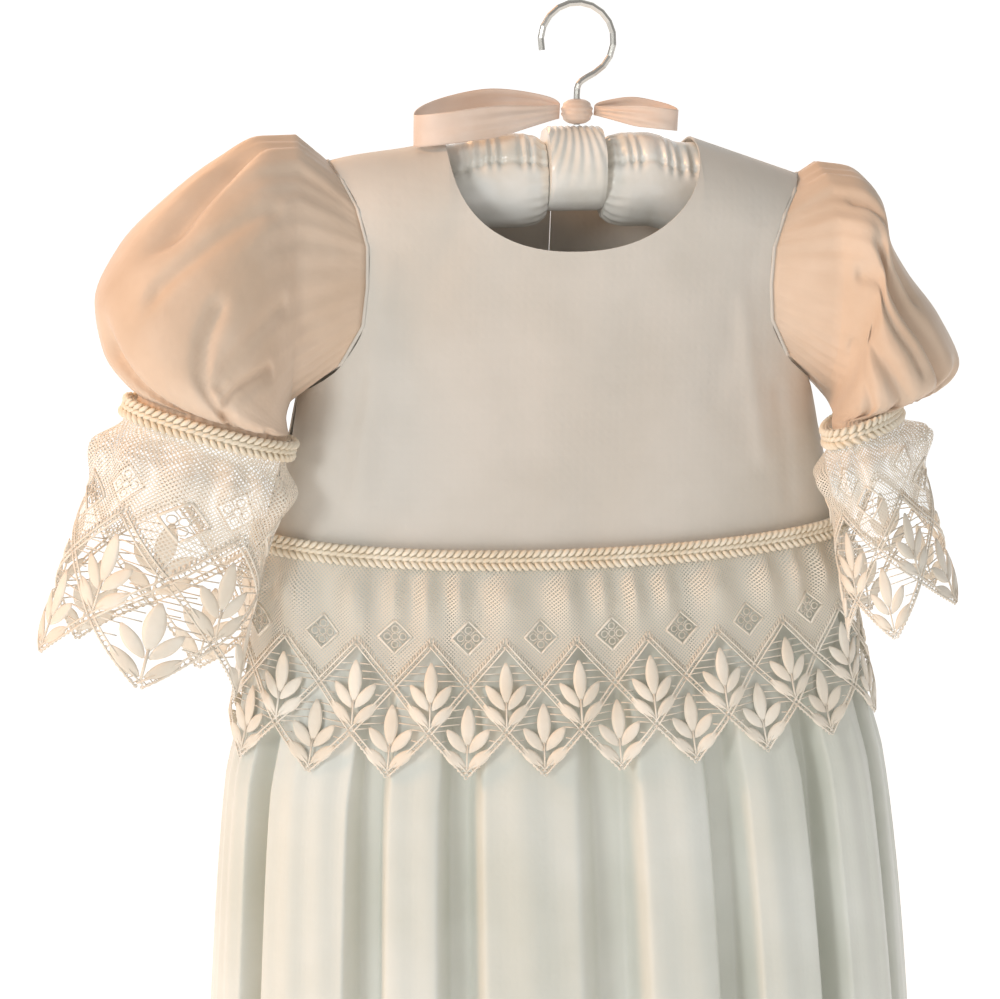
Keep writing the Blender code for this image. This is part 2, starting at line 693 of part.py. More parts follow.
def make_waist_braid():
    for name, start, end in (("waist_braid_front", -90, 90), ("waist_braid_back", 90, 270)):
        theta = np.radians(np.linspace(start, end, 29))
        upper = skirt_surface(theta, 0.0, BRAID_UPPER_STAND)
        upper[:, 2] += BRAID_ABOVE_WAIST
        lower = skirt_surface(theta, BRAID_HEIGHT - BRAID_ABOVE_WAIST, BRAID_LOWER_STAND)
        nx, ny = oval_normal(theta, WAIST_HALF_WIDTH, WAIST_HALF_DEPTH)
        outward = np.stack([nx, ny, 0 * nx], axis=-1)
        outward[[0, -1], 1] = 0
        for ring in (upper, lower):
            ring[[0, -1], 1] = math.copysign(HALF_SEAM, ring[14, 1])
        braid_band(name, upper, lower, outward, closed=False)


def armhole_loop(columns):
    """Points just outside the armhole, from the shoulder tip down the front and up the back.
    They follow the straight stretches between the panels' own corners."""
    corners = []
    for t in ARMHOLE_CORNERS:
        x, h = (float(v) for v in armhole_at(t))
        corners.append((x, 0.0 if t in (0, 1) else float(bodice_depth(x, h)), h))
    steps = np.linspace(0, 1, columns // 2 + 1)
    knots = np.array((0, 2, 4, 7, 10, 13, 16, 18)) / 18
    ts = np.interp(steps, knots, ARMHOLE_CORNERS)
    half = np.stack([np.interp(steps, knots, [c[a] for c in corners]) for a in range(3)], axis=-1)
    points = []
    for k in range(columns):
        facing = -1 if k <= columns // 2 else 1
        i = k if k <= columns // 2 else columns - k
        t = float(ts[i])
        edge = half[i] * [1, facing, 1]
        ahead, behind = armhole_at(min(t + 0.04, 1.0)), armhole_at(max(t - 0.04, 0.0))
        run = np.array([float(ahead[0] - behind[0]), float(ahead[1] - behind[1])])
        run /= np.hypot(*run)
        x, h = edge[0] + run[1] * 0.004, edge[2] - run[0] * 0.004
        inside = np.array([x, facing * float(bodice_depth(x, h)), h])
        away = edge - inside
        away[1] = facing * min(facing * away[1], 0) if 0.05 < t < 0.9 else 0.0
        points.append(edge + away / np.linalg.norm(away) * ARMHOLE_GAP)
    return np.array(points)


def sleeve_oval(turn):
    """The sleeve's section: (up, front) on a slightly squared circle."""
    power = 2 / SLEEVE_OVAL_POWER
    up = np.sign(np.cos(turn)) * np.abs(np.cos(turn)) ** power
    front = np.sign(np.sin(turn)) * np.abs(np.sin(turn)) ** power
    return up, front


def ring_axes(row):
    """Middle of a sleeve ring, and the vectors to its upper point and to its front."""
    upper_x, upper_h, lower_x, lower_h, forward, half_depth, turned = row
    middle = np.array([(upper_x + lower_x) / 2, -forward, (upper_h + lower_h) / 2])
    upward = np.array([(upper_x - lower_x) / 2, 0, (upper_h - lower_h) / 2])
    angle = math.radians(turned)
    return middle, upward, half_depth * np.array([-math.sin(angle), -math.cos(angle), 0])


def sleeve_ring(row, turn):
    """One ring of a sleeve, in the plane of its upper and lower points and y."""
    middle, upward, forward = ring_axes(row)
    up, front = sleeve_oval(turn)
    return middle + up[:, None] * upward + front[:, None] * forward


def ring_normals(ring):
    """Outward unit normals of a ring, in its own plane."""
    tangent = np.roll(ring, -1, axis=0) - np.roll(ring, 1, axis=0)
    middle = ring.mean(axis=0)
    plane = np.cross(ring[0] - middle, ring[len(ring) // 4] - middle)
    normals = np.cross(tangent, plane / np.linalg.norm(plane))
    normals /= np.linalg.norm(normals, axis=1)[:, None]
    outward = np.sign(np.einsum("ij,ij->i", normals, ring - middle))
    return normals * outward[:, None]


def fold_depth(folds, along, turn, ring_radius):
    """How far the folds press the cloth in at places (along, turn) of a sleeve."""
    total = np.zeros(len(turn))
    for along_a, turn_a, along_b, turn_b, half_width, depth in folds:
        start = np.array([along_a * SLEEVE_LENGTH, math.radians(turn_a) * ring_radius])
        end = np.array([along_b * SLEEVE_LENGTH, math.radians(turn_b) * ring_radius])
        places = np.stack([np.full(len(turn), along * SLEEVE_LENGTH), turn * ring_radius], axis=-1)
        run = end - start
        share = np.clip((places - start) @ run / (run @ run), 0, 1)
        away = np.linalg.norm(places - start - share[:, None] * run, axis=1)
        total += depth * np.exp(-((away / half_width) ** 2))
    return total


def make_sleeve(side, rings, folds, name):
    """A puffed sleeve gathered into its armhole and its cuff. side is -1 for the left of the
    front view and +1 for the right."""
    turn = 2 * math.pi * np.arange(SLEEVE_COLUMNS) / SLEEVE_COLUMNS
    rows = [armhole_loop(SLEEVE_COLUMNS)]
    last = len(rings) - 1
    for k, row in enumerate(rings):
        ring = sleeve_ring(row, turn)
        normals = ring_normals(ring)
        along = k / last
        head = smoothstep(1 - k / 2.5) * np.clip(np.cos(turn) + 0.35, 0, 1)
        cuff = smoothstep((k - last + 5) / 3.5) if k < last - 1 else 0.3
        inward = SLEEVE_HEAD_DEPTH * head * (0.5 - 0.5 * np.cos(SLEEVE_HEAD_PLEATS * turn))
        inward += SLEEVE_GATHER_DEPTH * cuff * (0.5 - 0.5 * np.cos(SLEEVE_GATHERS * turn))
        if 0 < k < last - 1:
            inward += fold_depth(folds, along, turn, 0.055)
        rows.append(ring - normals * inward[:, None])
    points = np.vstack(rows)
    points[:, 0] *= side
    faces = grid_faces(len(rows), SLEEVE_COLUMNS, closed=True, flip=side < 0)
    cloth_wall(name, points, faces, SLEEVE_WALL, "chiffon_sleeve")


def cuff_surface(row, hang, side, share, down, stand_out):
    """A point outside the sleeve's end, share of the way round from its outer edge over the
    front and down along the way the cuff hangs."""
    centre, upward, forward = ring_axes(row)
    up, front = sleeve_oval(2 * math.pi * share)
    half_height, half_depth = np.linalg.norm(upward), np.linalg.norm(forward)
    level = centre + (np.asarray(down) + CUFF_BELOW_GATHERS)[..., None] * np.asarray(hang)
    across = (up * (1 + stand_out / half_height))[..., None] * upward
    deep = (front * (1 + stand_out / half_depth))[..., None] * forward
    return (level + across + deep) * np.array([side, 1, 1])


def make_cuff(side, row, hang, stretch, outer_puff, name):
    """Lace cuff and braid of one sleeve. The lace is a tube in two halves, and stands out
    further on its outer side by outer_puff."""
    total = sum(CUFF_REPEATS)

    def lace(share, down):
        stand_out = smooth_table(down, CUFF[:, 0], CUFF[:, 1])
        wave = 0.5 + 0.5 * np.cos(2 * math.pi * share * total)
        ruffle = CUFF_RUFFLE * smoothstep((down - BRAID_HEIGHT) / 0.02) * wave
        puff = 1 + outer_puff * np.clip(np.cos(2 * math.pi * share), 0, 1)
        stand_out = LACE_WALL + stand_out * puff + ruffle
        return cuff_surface(row, hang, side, share, down * stretch, stand_out)

    first = 0
    for repeats, half in zip(CUFF_REPEATS, ("front", "back")):
        flat, faces = lace_sheet(repeats, CUFF_FLAT_LENGTH / total, BRAID_HEIGHT)
        share, down = flat[:, 0] / CUFF_FLAT_LENGTH + first / total - 0.05, flat[:, 1]
        outer = lace(share, down)
        middle = (outer + lace(share + 0.5, down)) / 2
        normals = outward_normals(lace, share, down, middle)
        faces = faces if side < 0 else [f[::-1] for f in faces]
        cloth_wall(f"{name}_lace_{half}", outer, faces, LACE_WALL, "guipure_lace", normals=normals)
        first += repeats
    count = 24
    share = np.arange(count) / count * side * -1
    rings = []
    for down in (0.0, BRAID_HEIGHT):
        stand = LACE_WALL + float(smooth_table(down, CUFF[:, 0], CUFF[:, 1])) + CUFF_BRAID_STAND
        stand += 0.0014 * outer_puff * np.clip(np.cos(2 * math.pi * share), 0, 1)
        rings.append(cuff_surface(row, hang, side, share, np.full(count, down), stand))
    braid_band(f"{name}_braid", rings[0], rings[1], ring_normals(rings[0]), closed=True)


def make_buttons():
    """Four shank buttons on the right back panel, beside the centre opening."""
    for k, h in enumerate(BUTTON_HEIGHTS):
        y = float(bodice_depth(BUTTON_X, h)) + 2 * SEAM_GAP
        rings = ((0.0, 0.62), (0.35, 1.0), (0.7, 0.86), (0.93, 0.5))
        points = []
        for out, share in rings:
            for i in range(10):
                turn = 2 * math.pi * i / 10
                across = BUTTON_RADIUS * share
                x = BUTTON_X + across * math.cos(turn)
                points.append((x, y + BUTTON_DEPTH * out, h + across * math.sin(turn)))
        faces = grid_faces(len(rings), 10, closed=True, flip=False)
        faces.append(tuple(reversed(range(10))))
        faces.append(tuple(range(30, 40)))
        add_object(f"back_button_{k + 1}", in_world(points), [f[::-1] for f in faces], "pearl_button")


def arm_top(x):
    """Top line of a padded arm, x from the neck's centre: just under the shoulder seam, and
    higher inside the neck."""
    under_cloth = shoulder_ridge(np.maximum(np.abs(x), 0.064)) - BODICE_WALL - SEAM_GAP
    return under_cloth + ARM_NECK_RISE * smoothstep((NECK_HALF_WIDTH - 0.004 - np.abs(x)) / 0.018)


def make_hanger_arm(name, side):
    """A padded arm: an oval tube with rounded ends that carries the shoulder seam."""
    shares = (0.0, 0.05, 0.14, 0.30, 0.42, 0.52, 0.70, 0.86, 0.95, 1.0)
    fullness = (0.80, 0.94, 1.0, 1.0, 1.0, 1.0, 1.0, 0.93, 0.72, 0.36)
    start = max(side * end for end in BAR_ENDS) if side > 0 else -BAR_ENDS[0]
    start += SEAM_GAP
    reach = ARM_REACH + side * GOWN_SHIFT_X
    count = 16
    points = []
    for share, full in zip(shares, fullness):
        x = start + (reach - start) * share
        top = float(arm_top(x - side * GOWN_SHIFT_X))
        centre = top - ARM_HALF_HEIGHT
        for i in range(count):
            turn = 2 * math.pi * i / count
            y = ARM_HALF_DEPTH * full * math.sin(turn)
            points.append((side * x, y, centre + ARM_HALF_HEIGHT * full * math.cos(turn)))
    last = (len(shares) - 1) * count
    faces = grid_faces(len(shares), count, closed=True)
    faces += [tuple(reversed(range(count))), tuple(range(last, last + count))]
    if side < 0:
        faces = [f[::-1] for f in faces]
    points = np.array(points)
    points[:, 2] += shoulder_lift(points - [GOWN_SHIFT_X, 0, 0])
    add_object(name, in_world(points, gown=False), [f[::-1] for f in faces], "hanger_satin")


def make_hanger_bar():
    """The satin-wrapped middle of the hanger, between its two arms."""
    count = 20
    points = []
    for x in BAR_ENDS:
        for i in range(count):
            turn = 2 * math.pi * i / count
            h = BAR_TOP_H - BAR_RADIUS + BAR_RADIUS * math.cos(turn)
            points.append((x, BAR_RADIUS * math.sin(turn), h))
    faces = grid_faces(2, count, closed=True)
    faces += [tuple(reversed(range(count))), tuple(range(count, 2 * count))]
    add_object("hanger_bar", in_world(points, gown=False), [f[::-1] for f in faces], "hanger_satin")


def hook_path():
    """Centre line of the hook's wire: straight up, out to one side, round and over the top."""
    radius = HOOK_INNER_RADIUS + WIRE_RADIUS
    centre_z = -HOOK_INNER_RADIUS
    foot_z = -HOOK_RISE + SEAM_GAP
    low_z = centre_z - radius - 0.012
    path = [(0.0, foot_z)]
    start = math.radians(-62)
    join = (radius * math.cos(start), centre_z + radius * math.sin(start))
    leave = (0.0, low_z)
    reach = 0.010
    first = (leave[0], leave[1] + reach)
    tangent = (-math.sin(start), math.cos(start))
    second = (join[0] - tangent[0] * reach, join[1] - tangent[1] * reach)
    for k in range(6):
        t = k / 6
        weights = ((1 - t) ** 3, 3 * t * (1 - t) ** 2, 3 * t * t * (1 - t), t**3)
        corners = (leave, first, second, join)
        path.append(tuple(sum(w * p[k] for w, p in zip(weights, corners)) for k in (0, 1)))
    end = math.radians(195)
    for k in range(15):
        turn = start + (end - start) * k / 14
        path.append((radius * math.cos(turn), centre_z + radius * math.sin(turn)))
    return path


def make_hook():
    path = hook_path()
    curve = bpy.data.curves.new("hook", "CURVE")
    curve.dimensions = "3D"
    curve.bevel_depth = WIRE_RADIUS
    curve.bevel_resolution = 2
    curve.use_fill_caps = True
    spline = curve.splines.new("POLY")
    spline.points.add(len(path) - 1)
    for point, (x, z) in zip(spline.points, path):
        point.co = (x, 0, z, 1)
    curve.materials.append(material("hook_steel"))
    bpy.context.scene.collection.objects.link(bpy.data.objects.new("hook", curve))


def make_knot():
    """The bow's knot, a ring of ribbon drawn tight round the foot of the hook."""
    section = ((0.0, 1.0), (0.8, 0.72), (1.0, 0.0), (0.8, -0.72), (0.0, -1.0))
    hole = WIRE_RADIUS + SEAM_GAP
    count = 14
    points = []
    for out, up in section:
        radius = hole + (KNOT_OUTER_RADIUS - hole) * out
        for i in range(count):
            turn = 2 * math.pi * i / count
            height = KNOT_H + KNOT_HALF_HEIGHT * up
            points.append((radius * math.cos(turn), radius * math.sin(turn), height))
    rings = len(section)
    faces = grid_faces(rings, count, closed=True, flip=True)
    last = (rings - 1) * count
    for i in range(count):
        after = (i + 1) % count
        faces.append((after, last + after, last + i, i))
    add_object("bow_knot", in_world(points, gown=False), faces, "organza_ribbon")


def make_bow_loop(name, reach, band, front, back, knot_h, far_h, back_lift):
    """A loop of ribbon on edge: out along the front, folded at its far end, back behind."""
    count = 18
    side = math.copysign(1, reach)
    near = side * (KNOT_OUTER_RADIUS + SEAM_GAP + RIBBON_WALL * 0.2)
    points = []
    for edge in (-1, 0, 1):
        for i in range(count):
            turn = 2 * math.pi * i / count
            along = (1 - math.cos(turn)) / 2
            x = near + (reach - near) * along
            bulge = front if math.sin(turn) > 0 else back
            y = -bulge * math.sin(turn) * (0.35 + 0.65 * along**0.6)
            lift = back_lift * max(-math.sin(turn), 0)
            h = knot_h + (far_h - knot_h) * along + lift
            height = band * (0.45 + 0.55 * smoothstep(along * 1.8))
            points.append((x, y - 0.001 * edge - LOOP_LEAN * along, h + height / 2 * edge))
    faces = grid_faces(3, count, closed=True, flip=side > 0)
    faces = [f[::-1] for f in faces]
    cloth_wall(name, points, faces, RIBBON_WALL, "organza_ribbon", gown=False)


def clear_scene():
    for old in list(bpy.data.objects):
        bpy.data.objects.remove(old)


def main():
    clear_scene()
    make_bodice()
    make_skirt()
    make_peplum()
    make_waist_braid()
    for side, label, rings in ((-1, "left", SLEEVE_LEFT), (1, "right", SLEEVE_RIGHT)):
        make_sleeve(side, rings, SLEEVE_FOLDS[label], f"sleeve_{label}")
        row, shape = rings[-2], (CUFF_HANG[label], CUFF_STRETCH[label], CUFF_OUTER_PUFF[label])
        make_cuff(side, row, *shape, f"cuff_{label}")
    make_buttons()
    make_hanger_arm("hanger_arm_left", -1)
    make_hanger_arm("hanger_arm_right", 1)
    make_hanger_bar()
    make_hook()
    make_knot()
    for name, sizes in LOOPS.items():
        make_bow_loop(name, *sizes)


main()
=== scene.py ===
# %% [markdown]
# # A christening gown on a padded hanger
# An ivory gown hangs on a padded satin hanger: a plain round-necked bodice, two puffed sleeves
# of sheer chiffon with cuffs of guipure lace, a skirt in deep box pleats, and a gathered lace
# overskirt (a peplum) under a gimp braid. This lesson dresses the plain solids of the part:
# each piece of cloth is worked out again from the same sizes, with finer folds, and gets its
# own weave.

# %% Load the solids
import math

import bmesh
import bpy
import numpy as np
from mathutils import Matrix, Vector


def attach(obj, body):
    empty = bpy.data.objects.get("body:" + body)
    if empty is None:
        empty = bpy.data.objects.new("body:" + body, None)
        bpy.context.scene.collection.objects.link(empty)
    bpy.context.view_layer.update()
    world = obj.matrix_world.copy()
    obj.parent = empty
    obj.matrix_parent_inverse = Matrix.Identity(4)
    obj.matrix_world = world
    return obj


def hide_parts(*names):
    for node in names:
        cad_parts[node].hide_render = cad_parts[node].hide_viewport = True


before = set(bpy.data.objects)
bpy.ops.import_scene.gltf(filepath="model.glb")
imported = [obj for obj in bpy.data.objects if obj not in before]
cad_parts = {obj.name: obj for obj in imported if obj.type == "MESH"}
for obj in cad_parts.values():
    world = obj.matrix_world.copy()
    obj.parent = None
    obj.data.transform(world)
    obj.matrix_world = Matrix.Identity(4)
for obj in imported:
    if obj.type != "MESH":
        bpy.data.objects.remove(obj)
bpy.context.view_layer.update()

# %% [markdown]
# ## Sizes
# All sizes are in metres and are those of the solids. Heights called h are measured from the
# neck point, where neckline and shoulder meet; x is across and y is depth, -y to the front.

# %% Sizes of the gown and its hanger
# Sizes in metres. Pieces that touch keep the seam gap between them.
SEAM_GAP = 0.0003
HALF_SEAM = SEAM_GAP / 2

# Hook and hanger. The padded arms end a little to each side of the hook's foot.
WIRE_RADIUS = 0.0016
HOOK_RISE = 0.056
BAR_RADIUS = 0.0203
BAR_ENDS = (-0.0155, 0.0115)
BAR_TOP_H = 0.0056
ARM_REACH = 0.104
ARM_HALF_HEIGHT = 0.0226
ARM_HALF_DEPTH = 0.0178
ARM_NECK_RISE = 0.0050

# The gown hangs a little to the left of the hook, and its waist a little more: (h, shift).
NECK_POINT_Z = -(HOOK_RISE + BAR_TOP_H)
GOWN_SHIFT_X = -0.0046
LEAN = np.array([
    (0.0, 0.0),
    (-0.188, -0.0055),
    (-0.280, -0.0030),
    (-0.430, 0.0005),
    (-0.830, 0.0040),
])
LEFT_SHOULDER_LIFT = 0.009

# Bodice.
BODICE_WALL = 0.0012
NECK_HALF_WIDTH = 0.0605
FRONT_NECK_DROP = 0.0512
BACK_NECK_DROP = 0.016
NECK_ROUNDNESS = 2.25
SHOULDER_TIP = (0.114, -0.0180)
SHOULDER_SLOPE = -SHOULDER_TIP[1] / (SHOULDER_TIP[0] - NECK_HALF_WIDTH)
SHOULDER_ROUND_HEIGHT = 0.034
UNDERARM = (0.127, -0.120)
CHEST_H = -0.140
WAIST_HALF_WIDTH = 0.1436
WAIST_H = -0.188
WAIST_FRONT_DIP = 0.006
OVAL_POWER = 2.3
CHEST_HALF_DEPTH = 0.037
WAIST_HALF_DEPTH = 0.046

# The armhole from shoulder tip to underarm: height and distance from the centre.
ARMHOLE = np.array([
    # h, x
    (-0.0180, 0.1140),
    (-0.0360, 0.1020),
    (-0.0580, 0.0965),
    (-0.0820, 0.0975),
    (-0.1040, 0.1080),
    (-0.1200, 0.1270),
])

# The front and back panels' columns, from side to centre, as they cross the chest line.
ARMHOLE_CORNERS = (0.0, 0.07, 0.18, 0.33, 0.50, 0.67, 0.84, 1.0)
NECK_CORNERS = (0.0, 0.06, 0.14, 0.28, 0.43, 0.57, 0.71, 0.86, 1.0)
CHEST_COLUMNS = (
    0.1300, 0.1200, 0.1090, 0.0995, 0.0930, 0.0885, 0.0845,
    0.0810, 0.0780, 0.0745, 0.0710,
    0.0670, 0.0625, 0.0560, 0.0460, 0.0365, 0.0275, 0.0185, 0.0092, 0.0,
)

# Skirt: distance below the waist, half width and half depth of the oval, depth of the pleats.
SKIRT_LENGTH = 0.620
SKIRT = np.array([
    # below, half_width, half_depth, pleat_depth
    (0.000, 0.1436, 0.0460, 0.0012),
    (0.040, 0.1495, 0.0530, 0.0040),
    (0.090, 0.1590, 0.0610, 0.0085),
    (0.125, 0.1680, 0.0660, 0.0105),
    (0.240, 0.1800, 0.0790, 0.0135),
    (0.340, 0.1870, 0.0890, 0.0150),
    (0.480, 0.1970, 0.1010, 0.0170),
    (0.620, 0.2080, 0.1120, 0.0190),
])
PLEAT_EDGE_WIDTH = 3.4
PLEAT_FACE_SWELL = 0.0022

# Box pleats: where each raised face begins and ends, in degrees round from the centre front.
FRONT_PLEATS = (
    (-100, -69), (-62, -38.5), (-32, -20.5), (-15, 0.5),
    (6.5, 19.5), (25.5, 40.5), (47, 66), (73, 100),
)
BACK_PLEATS = (
    (80, 103), (110, 131), (138, 152), (158, 173),
    (179, 193), (200, 216), (223, 241), (248, 280),
)

# Guipure lace, as it lies flat: two rows of diamonds under a close ground.
LACE_WALL = 0.0012
LACE_HEIGHT = 0.101
DIAMOND_STEP = 0.0102
LACE_GROUND = LACE_HEIGHT - 6 * DIAMOND_STEP
PEPLUM_REPEATS = 10
CUFF_REPEATS = (3, 2)

# Peplum: distance down the lace, how far it stands off the skirt, depth of its ruffle.
PEPLUM = np.array([
    # down, stand_off, ruffle
    (0.000, 0.0009, 0.0000),
    (0.006, 0.0010, 0.0003),
    (0.020, 0.0020, 0.0020),
    (0.040, 0.0018, 0.0024),
    (0.070, 0.0016, 0.0026),
    (0.101, 0.0018, 0.0034),
])
PEPLUM_SIDE_STRETCH = 0.035

# Gimp braid over the lace heading.
BRAID_HEIGHT = 0.009
BRAID_DEPTH = 0.0026
BRAID_ABOVE_WAIST = 0.003
BRAID_UPPER_STAND = 0.0020
BRAID_LOWER_STAND = 0.0030
CUFF_BRAID_STAND = 0.0006

# Sleeves: each row is a ring from armhole to cuff, by its upper and lower points, how far
# its middle lies forward of the shoulder, its half depth, and the angle in degrees by which
# its depth is turned, front end inwards. The sleeve on the left of a front view is seen
# broadside. The other hangs with its flat side outward.
SLEEVE_LENGTH = 0.130
ARMHOLE_GAP = 0.0006
SLEEVE_OVAL_POWER = 2.15
SLEEVE_LEFT = np.array([
    # upper_x, upper_h, lower_x, lower_h, forward, half_depth, turned
    (0.1300, -0.0060, 0.1312, -0.1250, 0.0000, 0.0420, 0),
    (0.1470, -0.0065, 0.1325, -0.1285, 0.0020, 0.0500, 0),
    (0.1680, -0.0170, 0.1330, -0.1305, 0.0060, 0.0550, 0),
    (0.1910, -0.0330, 0.1330, -0.1320, 0.0110, 0.0570, 0),
    (0.2120, -0.0520, 0.1330, -0.1332, 0.0160, 0.0560, 0),
    (0.2230, -0.0740, 0.1330, -0.1340, 0.0210, 0.0520, 0),
    (0.2190, -0.0950, 0.1330, -0.1346, 0.0260, 0.0430, 0),
    (0.2080, -0.1100, 0.1332, -0.1352, 0.0290, 0.0310, 0),
    (0.2030, -0.1150, 0.1335, -0.1357, 0.0300, 0.0215, 0),
    (0.2042, -0.1188, 0.1347, -0.1395, 0.0302, 0.0215, 0),
])
SLEEVE_RIGHT = np.array([
    # upper_x, upper_h, lower_x, lower_h, forward, half_depth, turned
    (0.1240, -0.0120, 0.1312, -0.1235, 0.0000, 0.0430, 0),
    (0.1380, -0.0140, 0.1325, -0.1251, 0.0020, 0.0500, 0),
    (0.1510, -0.0260, 0.1330, -0.1264, 0.0060, 0.0530, 2),
    (0.1560, -0.0450, 0.1330, -0.1276, 0.0110, 0.0540, 5),
    (0.1670, -0.0640, 0.1325, -0.1287, 0.0170, 0.0530, 9),
    (0.1830, -0.0850, 0.1315, -0.1298, 0.0240, 0.0500, 13),
    (0.1935, -0.1080, 0.1305, -0.1309, 0.0310, 0.0430, 17),
    (0.1830, -0.1200, 0.1292, -0.1321, 0.0360, 0.0350, 20),
    (0.1560, -0.1255, 0.1283, -0.1341, 0.0380, 0.0300, 20),
    (0.1567, -0.1294, 0.1290, -0.1380, 0.0384, 0.0300, 20),
])
SLEEVE_HEAD_PLEATS = 12
SLEEVE_HEAD_DEPTH = 0.0022

# Lace cuff: distance down the lace and how far it stands out from the sleeve's end.
CUFF = np.array([
    # down, stand_out
    (0.000, 0.0011),
    (0.009, 0.0014),
    (0.020, 0.0090),
    (0.036, 0.0064),
    (0.070, 0.0078),
    (0.101, 0.0100),
])
CUFF_RUFFLE = 0.0020
CUFF_FLAT_LENGTH = 0.200
CUFF_BELOW_GATHERS = 0.0012
CUFF_HANG = {"left": (0.309, -0.030, -0.951), "right": (0.180, -0.130, -0.970)}
CUFF_STRETCH = {"left": 1.22, "right": 1.0}
CUFF_OUTER_PUFF = {"left": 0.0, "right": 0.6}

# Buttons of the back opening.
BUTTON_RADIUS = 0.0045
BUTTON_DEPTH = 0.0032
BUTTON_HEIGHTS = (-0.030, -0.072, -0.114, -0.156)
BUTTON_X = 0.0085

# Ribbon bow tied round the hook's foot. Each loop: reach along x, band height, front and back
# bulge, height at the knot and at its far end, and how much the back layer is raised. The
# far ends lean forward.
RIBBON_WALL = 0.0010
LOOP_LEAN = 0.010
KNOT_OUTER_RADIUS = 0.0078
KNOT_HALF_HEIGHT = 0.0060
KNOT_H = 0.0122
LOOPS = {
    # name: (reach, band, front, back, knot_h, far_h, back_lift)
    "bow_loop_left": (-0.080, 0.0150, 0.0170, 0.0070, 0.0122, 0.0040, 0.0075),
    "bow_loop_right": (0.047, 0.0100, 0.0150, 0.0060, 0.0125, 0.0082, 0.0035),
}

# %% Curves, places and normals
def smooth_table(at, stations, values):
    """A smooth curve through a table's points, with no overshoot between them."""
    at = np.clip(np.asarray(at, float), stations[0], stations[-1])
    steps = np.diff(stations)
    slopes = np.diff(values) / steps
    tangents = np.zeros(len(stations))
    same_way = slopes[:-1] * slopes[1:] > 0
    tangents[1:-1][same_way] = 2 / (1 / slopes[:-1][same_way] + 1 / slopes[1:][same_way])
    tangents[0] = slopes[0]
    tangents[-1] = slopes[-1]
    index = np.clip(np.searchsorted(stations, at, side="right") - 1, 0, len(steps) - 1)
    t = (at - stations[index]) / steps[index]
    rise = values[index] * (1 + 2 * t) * (1 - t) ** 2 + values[index + 1] * t * t * (3 - 2 * t)
    lean = tangents[index] * t * (1 - t) ** 2 - tangents[index + 1] * t * t * (1 - t)
    return rise + lean * steps[index]


def smoothstep(t):
    t = np.clip(t, 0, 1)
    return t * t * (3 - 2 * t)


def shoulder_lift(points):
    """How much the left shoulder is raised at (x, y, h): nothing at the neck and the chest."""
    outward = smoothstep((-points[:, 0] - NECK_HALF_WIDTH) / 0.06)
    return LEFT_SHOULDER_LIFT * outward * smoothstep((points[:, 2] + 0.11) / 0.11)


def in_world(points, gown=True):
    """Turns (x, y, h) about the neck point into world coordinates. The gown also leans."""
    points = np.array(points, float)
    if gown:
        points[:, 2] += shoulder_lift(points)
        points[:, 0] += GOWN_SHIFT_X + smooth_table(-points[:, 2], -LEAN[:, 0], LEAN[:, 1])
    points[:, 2] += NECK_POINT_Z
    return points


def triangles_from(faces):
    return np.array([(f[0], f[i], f[i + 1]) for f in faces for i in range(1, len(f) - 1)])


def point_normals(points, faces):
    """Unit normals at the points of an open sheet, averaged over the faces that meet there."""
    corners = triangles_from(faces)
    a, b, c = (points[corners[:, k]] for k in range(3))
    across = np.cross(b - a, c - a)
    normals = np.zeros_like(points)
    for k in range(3):
        np.add.at(normals, corners[:, k], across)
    return normals / np.linalg.norm(normals, axis=1)[:, None]


def outward_normals(surface, share, down, inside):
    """Normals of a surface of (share, down), pointing away from the points called inside."""
    along = surface(share + 1e-3, down) - surface(share - 1e-3, down)
    drop = surface(share, down + 1e-4) - surface(share, down - 1e-4)
    normals = np.cross(along, drop)
    normals /= np.linalg.norm(normals, axis=1)[:, None]
    outward = np.sign(np.einsum("ij,ij->i", normals, surface(share, down) - inside))
    return normals * outward[:, None]


def grid_faces(rows, columns, closed=False, flip=False):
    """Quads of a sheet stored row after row. With closed, its last column joins its first."""
    faces = []
    for r in range(rows - 1):
        for c in range(columns if closed else columns - 1):
            right = (c + 1) % columns
            quad = [r * columns + c, r * columns + right, (r + 1) * columns + right]
            quad.append((r + 1) * columns + c)
            faces.append(quad[::-1] if flip else quad)
    return faces


# %% [markdown]
# ## Shapes
# The functions below give a place on each part of the gown. They are the same as the solids',
# so every piece lies where its solid lies.


# %% Shape of the bodice
def shoulder_ridge(x):
    """Height of the shoulder seam, level across the neck."""
    return -SHOULDER_SLOPE * np.maximum(np.abs(x) - NECK_HALF_WIDTH, 0)


def side_x(h):
    """Half width of the bodice at a height. Above the underarm it goes on past the armhole."""
    down = (h - UNDERARM[1]) / (WAIST_H - UNDERARM[1])
    below = UNDERARM[0] + (WAIST_HALF_WIDTH - UNDERARM[0]) * down
    return np.where(h < UNDERARM[1], below, UNDERARM[0] + 0.1 * (h - UNDERARM[1]))


def bodice_depth(x, h):
    """Half depth of the bodice: oval in plan, and rounded over the hanger at the shoulders."""
    lower = smoothstep((h + 0.05) / (WAIST_H + 0.05))
    full = CHEST_HALF_DEPTH + (WAIST_HALF_DEPTH - CHEST_HALF_DEPTH) * lower
    across = np.clip(np.abs(x) / side_x(h), 0, 1)
    oval = (1 - across**OVAL_POWER) ** (1 / OVAL_POWER)
    under_ridge = np.clip((shoulder_ridge(x) - h) / SHOULDER_ROUND_HEIGHT, 0, 1)
    return full * oval * np.sqrt(1 - (1 - under_ridge) ** 2)


